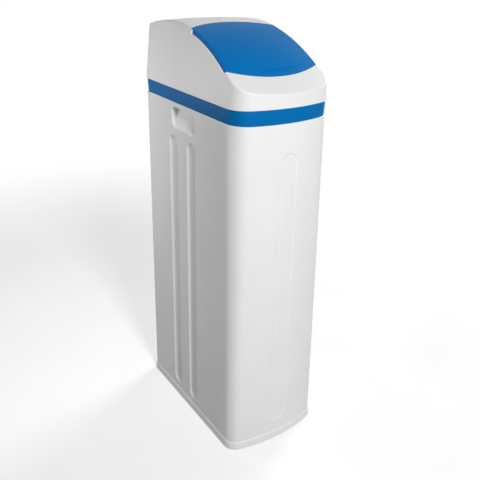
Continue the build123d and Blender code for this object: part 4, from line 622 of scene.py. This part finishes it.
def cabinet_surface(flute_depth, front_depth, softness, grip_softness, edge):
    """Skin of the cabinet: the plan carried up the rows, then pressed in by the flutes and the grips.

    Each dent's depth is its full depth times a smooth step of the distance inside its outline. The side dents
    push along X, and the front flute pushes along the bow's normal. A grip deepens in a straight line towards
    its top.
    """
    z, inset, rim, grown = body_rows(edge)
    plan = body_plan(z, inset, rim)
    x, y = whole_plan(plan, body_columns())
    z = z + 0 * x
    on_side = (grown >= 0) & (np.abs(np.abs(x) - plan["half"]) < ON_SIDE)
    pressed = np.zeros_like(x)
    for middle in FLUTE_MIDDLES:
        inside = np.maximum(grown, 0) - slot_distance(y, z, middle, FLUTE_LOW, FLUTE_HIGH, FLUTE_HALF)
        pressed = np.maximum(pressed, flute_depth * smooth_step(inside, -FLUTE_LEAD * softness, softness))
    inside = np.maximum(grown, 0) - grip_distance(y, z)
    depth = lerp(*GRIP_DEPTHS, np.clip((z - GRIP_LOW) / (GRIP_HIGH - GRIP_LOW), 0, 1))
    pressed = np.maximum(pressed, depth * smooth_step(inside, -GRIP_LEAD, grip_softness))
    inside = -slot_distance(x, z, 0.0, FRONT_FLUTE_LOW, FRONT_FLUTE_HIGH, FRONT_FLUTE_HALF)
    on_front = (grown == 0) & (np.abs(x) < FRONT_REACH) & (y < 0)
    front = front_depth * smooth_step(inside, *FRONT_FLUTE_SLOPE) * on_front
    moved_x = x - np.sign(x) * pressed * on_side - front * x / plan["bow"]
    moved_y = y + front * (plan["bow"] - plan["back"] - y) / plan["bow"]
    return np.stack([moved_x, moved_y, z], axis=-1)


def band_surface(edge):
    """Trim band: a closed section with rounded corners carried round the rim's plan.

    The outer face leans out by the flare from its foot to its top, and the corners are quarter circles.
    """
    quarter = shares(4) * math.pi / 2
    corners = [  # centre height, centre inset, first angle
        (BAND_LOW + edge, edge, -math.pi / 2), (BAND_HIGH - edge, edge - BAND_FLARE, 0.0),
        (BAND_HIGH - edge, BAND_WALL - edge, math.pi / 2), (BAND_LOW + edge, BAND_WALL - edge, math.pi),
    ]
    z = np.concatenate([height + edge * np.sin(first + quarter) for height, _, first in corners])[:, None]
    inset = np.concatenate([middle - edge * np.cos(first + quarter) for _, middle, first in corners])[:, None]
    x, y = whole_plan({name: size - inset for name, size in RIM_PLAN.items()}, band_columns())
    return np.stack([x, y, z + 0 * x], axis=-1)


# Stage

def floor_finish():
    """Painted studio floor: matt with a faint broad mottle, lifted to white for the camera.

    Far off it is all white, so that it runs into the background with no edge.
    """
    material, tree, place = fresh("matt_studio_floor")
    stage = bpy.context.scene.softener_stage
    mottle = add(tree, "TexNoise", {"Vector": place, "Scale": every(400.0), "Detail": 2.0})
    tone = add(tree, "ValToRGB", {"Fac": mottle.outputs["Fac"]}, stops=[
        (0.35, shade("#bababa")), (0.65, shade("#bfbfbf")),
    ])
    matt = add(tree, "BsdfDiffuse", {"Color": tone.outputs["Color"]})
    lift = add(tree, "Emission", {"Color": shade("#ffffff"), "Strength": stage.floor_lift})
    lit = add(tree, "AddShader", {0: matt.outputs["BSDF"], 1: lift.outputs["Emission"]})
    bright = add(tree, "Emission", {"Color": shade("#ffffff"), "Strength": 1.0})
    away = add(tree, "VectorMath", {0: place}, operation="LENGTH")
    fade = add(tree, "MapRange", {
        "Value": away.outputs["Value"], "From Min": FLOOR_FADE[0], "From Max": FLOOR_FADE[1],
    }, interpolation_type="SMOOTHSTEP")
    seen = picture_rays(tree)
    share = add(tree, "Math", {0: seen, 1: fade.outputs["Result"]}, operation="MULTIPLY")
    near = add(tree, "MixShader", {0: seen, 1: matt.outputs["BSDF"], 2: lit.outputs["Shader"]})
    mix = add(tree, "MixShader", {
        0: share.outputs["Value"], 1: near.outputs["Shader"], 2: bright.outputs["Emission"],
    })
    add(tree, "OutputMaterial", {"Surface": mix.outputs["Shader"]})
    return material


def studio_floor():
    """Round level floor: rings of points at shrinking radii about its middle."""
    radius = np.array(FLOOR_RADII)[:, None]
    angle = np.arange(FLOOR_SIDES) / FLOOR_SIDES * 2 * math.pi
    points = np.stack([radius * np.cos(angle), radius * np.sin(angle), 0 * radius * angle], axis=-1)
    index = np.arange(radius.size * angle.size).reshape(radius.size, angle.size)
    mesh = bpy.data.meshes.new("studio_floor")
    mesh.from_pydata(points.reshape(-1, 3).tolist(), [], quads_between(index) + [index[-1].tolist()])
    mesh.materials.append(floor_finish())
    floor = bpy.data.objects.new("studio_floor", mesh)
    bpy.context.scene.collection.objects.link(floor)


def studio_air():
    """World: white to the camera and to reflections, and a plain grey level of light for the rest."""
    world = bpy.data.worlds.new("studio_air")
    bpy.context.scene.world = world
    world.use_nodes = True
    tree = world.node_tree
    tree.nodes.clear()
    level = bpy.context.scene.softener_stage.air_level
    plain = add(tree, "Background", {"Color": shade("#ffffff"), "Strength": level})
    white = add(tree, "Background", {"Color": shade("#ffffff"), "Strength": 1.0})
    mix = add(tree, "MixShader", {
        0: picture_rays(tree), 1: plain.outputs["Background"], 2: white.outputs["Background"],
    })
    add(tree, "OutputWorld", {"Surface": mix.outputs["Shader"]})


def soft_lamp(name, power, place, target, size):
    """Square soft box that looks at a target."""
    lamp = bpy.data.lights.new(name, "AREA")
    lamp.shape, lamp.size, lamp.energy = "SQUARE", size, power
    box = bpy.data.objects.new(name, lamp)
    aim = (Vector(target) - Vector(place)).to_track_quat("-Z", "Y")
    box.matrix_world = Matrix.Translation(place) @ aim.to_matrix().to_4x4()
    bpy.context.scene.collection.objects.link(box)


def studio_camera():
    """Camera at the picture's viewing angle: yaw about Z, pitch down, then a small roll."""
    yaw, pitch, roll = CAMERA_YAW, CAMERA_PITCH, CAMERA_ROLL
    ahead = Vector((math.sin(yaw) * math.cos(pitch), math.cos(yaw) * math.cos(pitch), -math.sin(pitch)))
    right = Vector((math.cos(yaw), -math.sin(yaw), 0))
    up = right.cross(ahead)
    across = right * math.cos(roll) + up * math.sin(roll)
    upright = up * math.cos(roll) - right * math.sin(roll)
    data = bpy.data.cameras.new("studio_camera")
    data.lens, data.sensor_width = CAMERA_LENS, CAMERA_SENSOR
    data.shift_x, data.shift_y = CAMERA_SHIFT
    camera = bpy.data.objects.new("studio_camera", data)
    turn = Matrix((across, upright, -ahead)).transposed().to_4x4()
    camera.matrix_world = Matrix.Translation(CAMERA_PLACE) @ turn
    bpy.context.scene.collection.objects.link(camera)
    bpy.context.scene.camera = camera


# Settings, operators and panel

class SoftenerColours(bpy.types.PropertyGroup):
    cabinet: FloatVectorProperty(
        name="Cabinet", description="White of the body moulding", subtype="COLOR", default=linear("#ececec"),
    )
    hood: FloatVectorProperty(
        name="Hood", description="White of the hood moulding", subtype="COLOR", default=linear("#eaeaea"),
    )
    band: FloatVectorProperty(
        name="Band", description="Blue of the trim band", subtype="COLOR", default=linear("#006bae"),
    )
    lid: FloatVectorProperty(
        name="Lid", description="Blue of the salt lid", subtype="COLOR", default=linear("#0072ba"),
    )


class SoftenerShapes(bpy.types.PropertyGroup):
    flute_depth: FloatProperty(
        name="Flute depth", description="Depth of the long side flutes",
        unit="LENGTH", default=6.0 * MM, min=0,
    )
    front_flute_depth: FloatProperty(
        name="Front flute depth", description="Depth of the wide front flute",
        unit="LENGTH", default=1.8 * MM, min=0,
    )
    flute_softness: FloatProperty(
        name="Flute softness", description="Width of a flute's sloping side inside its outline",
        unit="LENGTH", default=6.2 * MM, min=MM,
    )
    grip_softness: FloatProperty(
        name="Grip softness", description="Width of a grip's sloping side inside its outline",
        unit="LENGTH", default=7.5 * MM, min=MM,
    )
    shoulder_round: FloatProperty(
        name="Shoulder round", description="Radius of the cabinet's top edge",
        unit="LENGTH", default=1.6 * MM, min=0,
    )
    band_round: FloatProperty(
        name="Band round", description="Radius of the band's edges",
        unit="LENGTH", default=0.9 * MM, min=0,
    )


class SoftenerStage(bpy.types.PropertyGroup):
    key_power: FloatProperty(
        name="Key power", description="Power of the soft box in front, almost in the plane of the left side",
        unit="POWER", default=100.0, min=0,
    )
    side_power: FloatProperty(
        name="Side power", description="Power of the large soft box at the right",
        unit="POWER", default=90.0, min=0,
    )
    fill_power: FloatProperty(
        name="Fill power", description="Power of the small soft box close to the left rear",
        unit="POWER", default=3.1, min=0,
    )
    air_level: FloatProperty(
        name="Air level", description="Plain light from all around", default=0.05, min=0,
    )
    floor_lift: FloatProperty(
        name="Floor lift", description="White that the camera sees added to the floor", default=0.51, min=0,
    )


class SOFTENER_OT_cabinet_body(bpy.types.Operator):
    """Makes the cabinet's skin with its flutes, grips, skirt and collar"""
    bl_idname = "softener.cabinet_body"
    bl_label = "Cabinet body"

    def execute(self, context):
        shapes = context.scene.softener_shapes
        points = cabinet_surface(
            shapes.flute_depth / MM, shapes.front_flute_depth / MM, shapes.flute_softness / MM,
            shapes.grip_softness / MM, shapes.shoulder_round / MM,
        )
        put_mesh("cabinet_skin", points, False, "softener", "cabinet_white", "cabinet_body")
        return {"FINISHED"}


class SOFTENER_OT_trim_band(bpy.types.Operator):
    """Makes the blue band round the top of the cabinet"""
    bl_idname = "softener.trim_band"
    bl_label = "Trim band"

    def execute(self, context):
        points = band_surface(context.scene.softener_shapes.band_round / MM)
        put_mesh("band_ring", points, True, "softener", "band_blue", "trim_band")
        return {"FINISHED"}


class SOFTENER_OT_hood(bpy.types.Operator):
    """Finishes the hood and the salt lid"""
    bl_idname = "softener.hood"
    bl_label = "Hood and lid"

    def execute(self, context):
        dress("hood", "salt_lid")
        return {"FINISHED"}


class SOFTENER_OT_controls(bpy.types.Operator):
    """Finishes the control panel, its keys, display, board and box"""
    bl_idname = "softener.controls"
    bl_label = "Controls"

    def execute(self, context):
        dress(
            "control_panel", "control_head", "display", "display_board", "key_switches", "left_key",
            "inner_left_key", "inner_right_key", "right_key", "power_jack", "head_screws",
        )
        return {"FINISHED"}


class SOFTENER_OT_tank(bpy.types.Operator):
    """Finishes the resin tank, its boot and what stands in it"""
    bl_idname = "softener.tank"
    bl_label = "Resin tank"

    def execute(self, context):
        dress(
            "resin_tank", "tank_boot", "resin_bed", "riser_tube", "bottom_strainer", "top_strainer",
            "neck_seal",
        )
        return {"FINISHED"}


class SOFTENER_OT_valve(bpy.types.Operator):
    """Finishes the control valve, its piston and its gear drive"""
    bl_idname = "softener.valve"
    bl_label = "Control valve"

    def execute(self, context):
        dress(
            "valve_body", "stack_spacers", "stack_seals", "stack_retainer", "piston", "main_gear",
            "idler_gear", "motor_pinion", "drive_motor", "drive_bracket", "gear_cover", "cover_screws",
            "injector_nozzle", "injector_cap", "drain_elbow", "brine_elbow", "mixing_knob", "turbine_cage",
            "meter_turbine",
        )
        return {"FINISHED"}


class SOFTENER_OT_bypass(bpy.types.Operator):
    """Finishes the bypass behind the valve, with its nuts and handles"""
    bl_idname = "softener.bypass"
    bl_label = "Bypass"

    def execute(self, context):
        dress("coupling_nuts", "port_seals", "bypass_body", "inlet_bypass_handle", "outlet_bypass_handle")
        return {"FINISHED"}


class SOFTENER_OT_brine(bpy.types.Operator):
    """Finishes the salt platform, the brine well, its float and the overflow"""
    bl_idname = "softener.brine"
    bl_label = "Brine side"

    def execute(self, context):
        dress(
            "salt_grid", "brine_well", "well_cap", "safety_valve", "brine_riser", "rod_guide", "float_rod",
            "float_cup", "air_check", "air_check_ball", "brine_tube", "brine_tube_nut", "overflow_elbow",
            "overflow_nut",
        )
        return {"FINISHED"}


class SOFTENER_OT_stage(bpy.types.Operator):
    """Makes the floor, the air, the soft boxes and the camera"""
    bl_idname = "softener.stage"
    bl_label = "Stage"

    def execute(self, context):
        stage = context.scene.softener_stage
        studio_floor()
        studio_air()
        soft_lamp("key_box", stage.key_power, **SOFT_BOXES["key_box"])
        soft_lamp("side_box", stage.side_power, **SOFT_BOXES["side_box"])
        soft_lamp("fill_box", stage.fill_power, **SOFT_BOXES["fill_box"])
        studio_camera()
        context.scene.view_settings.view_transform = "Standard"
        return {"FINISHED"}


class SOFTENER_PT_panel(bpy.types.Panel):
    bl_label = "Cabinet water softener"
    bl_idname = "SOFTENER_PT_panel"
    bl_space_type = "VIEW_3D"
    bl_region_type = "UI"
    bl_category = "Softener"

    def draw(self, context):
        scene, layout = context.scene, self.layout
        for group in (scene.softener_colours, scene.softener_shapes, scene.softener_stage):
            column = layout.column()
            for name in group.__annotations__:
                column.prop(group, name)
        for operator in OPERATORS:
            layout.operator(operator.bl_idname)


GROUPS = (SoftenerColours, SoftenerShapes, SoftenerStage)
OPERATORS = (
    SOFTENER_OT_stage, SOFTENER_OT_cabinet_body, SOFTENER_OT_trim_band, SOFTENER_OT_hood,
    SOFTENER_OT_controls, SOFTENER_OT_tank, SOFTENER_OT_valve, SOFTENER_OT_bypass, SOFTENER_OT_brine,
)


def register():
    for kind in (*GROUPS, *OPERATORS, SOFTENER_PT_panel):
        bpy.utils.register_class(kind)
    bpy.types.Scene.softener_colours = PointerProperty(type=SoftenerColours)
    bpy.types.Scene.softener_shapes = PointerProperty(type=SoftenerShapes)
    bpy.types.Scene.softener_stage = PointerProperty(type=SoftenerStage)


def unregister():
    del bpy.types.Scene.softener_stage, bpy.types.Scene.softener_shapes, bpy.types.Scene.softener_colours
    for kind in (SOFTENER_PT_panel, *reversed(OPERATORS), *reversed(GROUPS)):
        bpy.utils.unregister_class(kind)


def main():
    register()
    bpy.ops.softener.stage()
    bpy.ops.softener.cabinet_body()
    bpy.ops.softener.trim_band()
    bpy.ops.softener.hood()
    bpy.ops.softener.controls()
    bpy.ops.softener.tank()
    bpy.ops.softener.valve()
    bpy.ops.softener.bypass()
    bpy.ops.softener.brine()


if __name__ == "__main__":
    main()
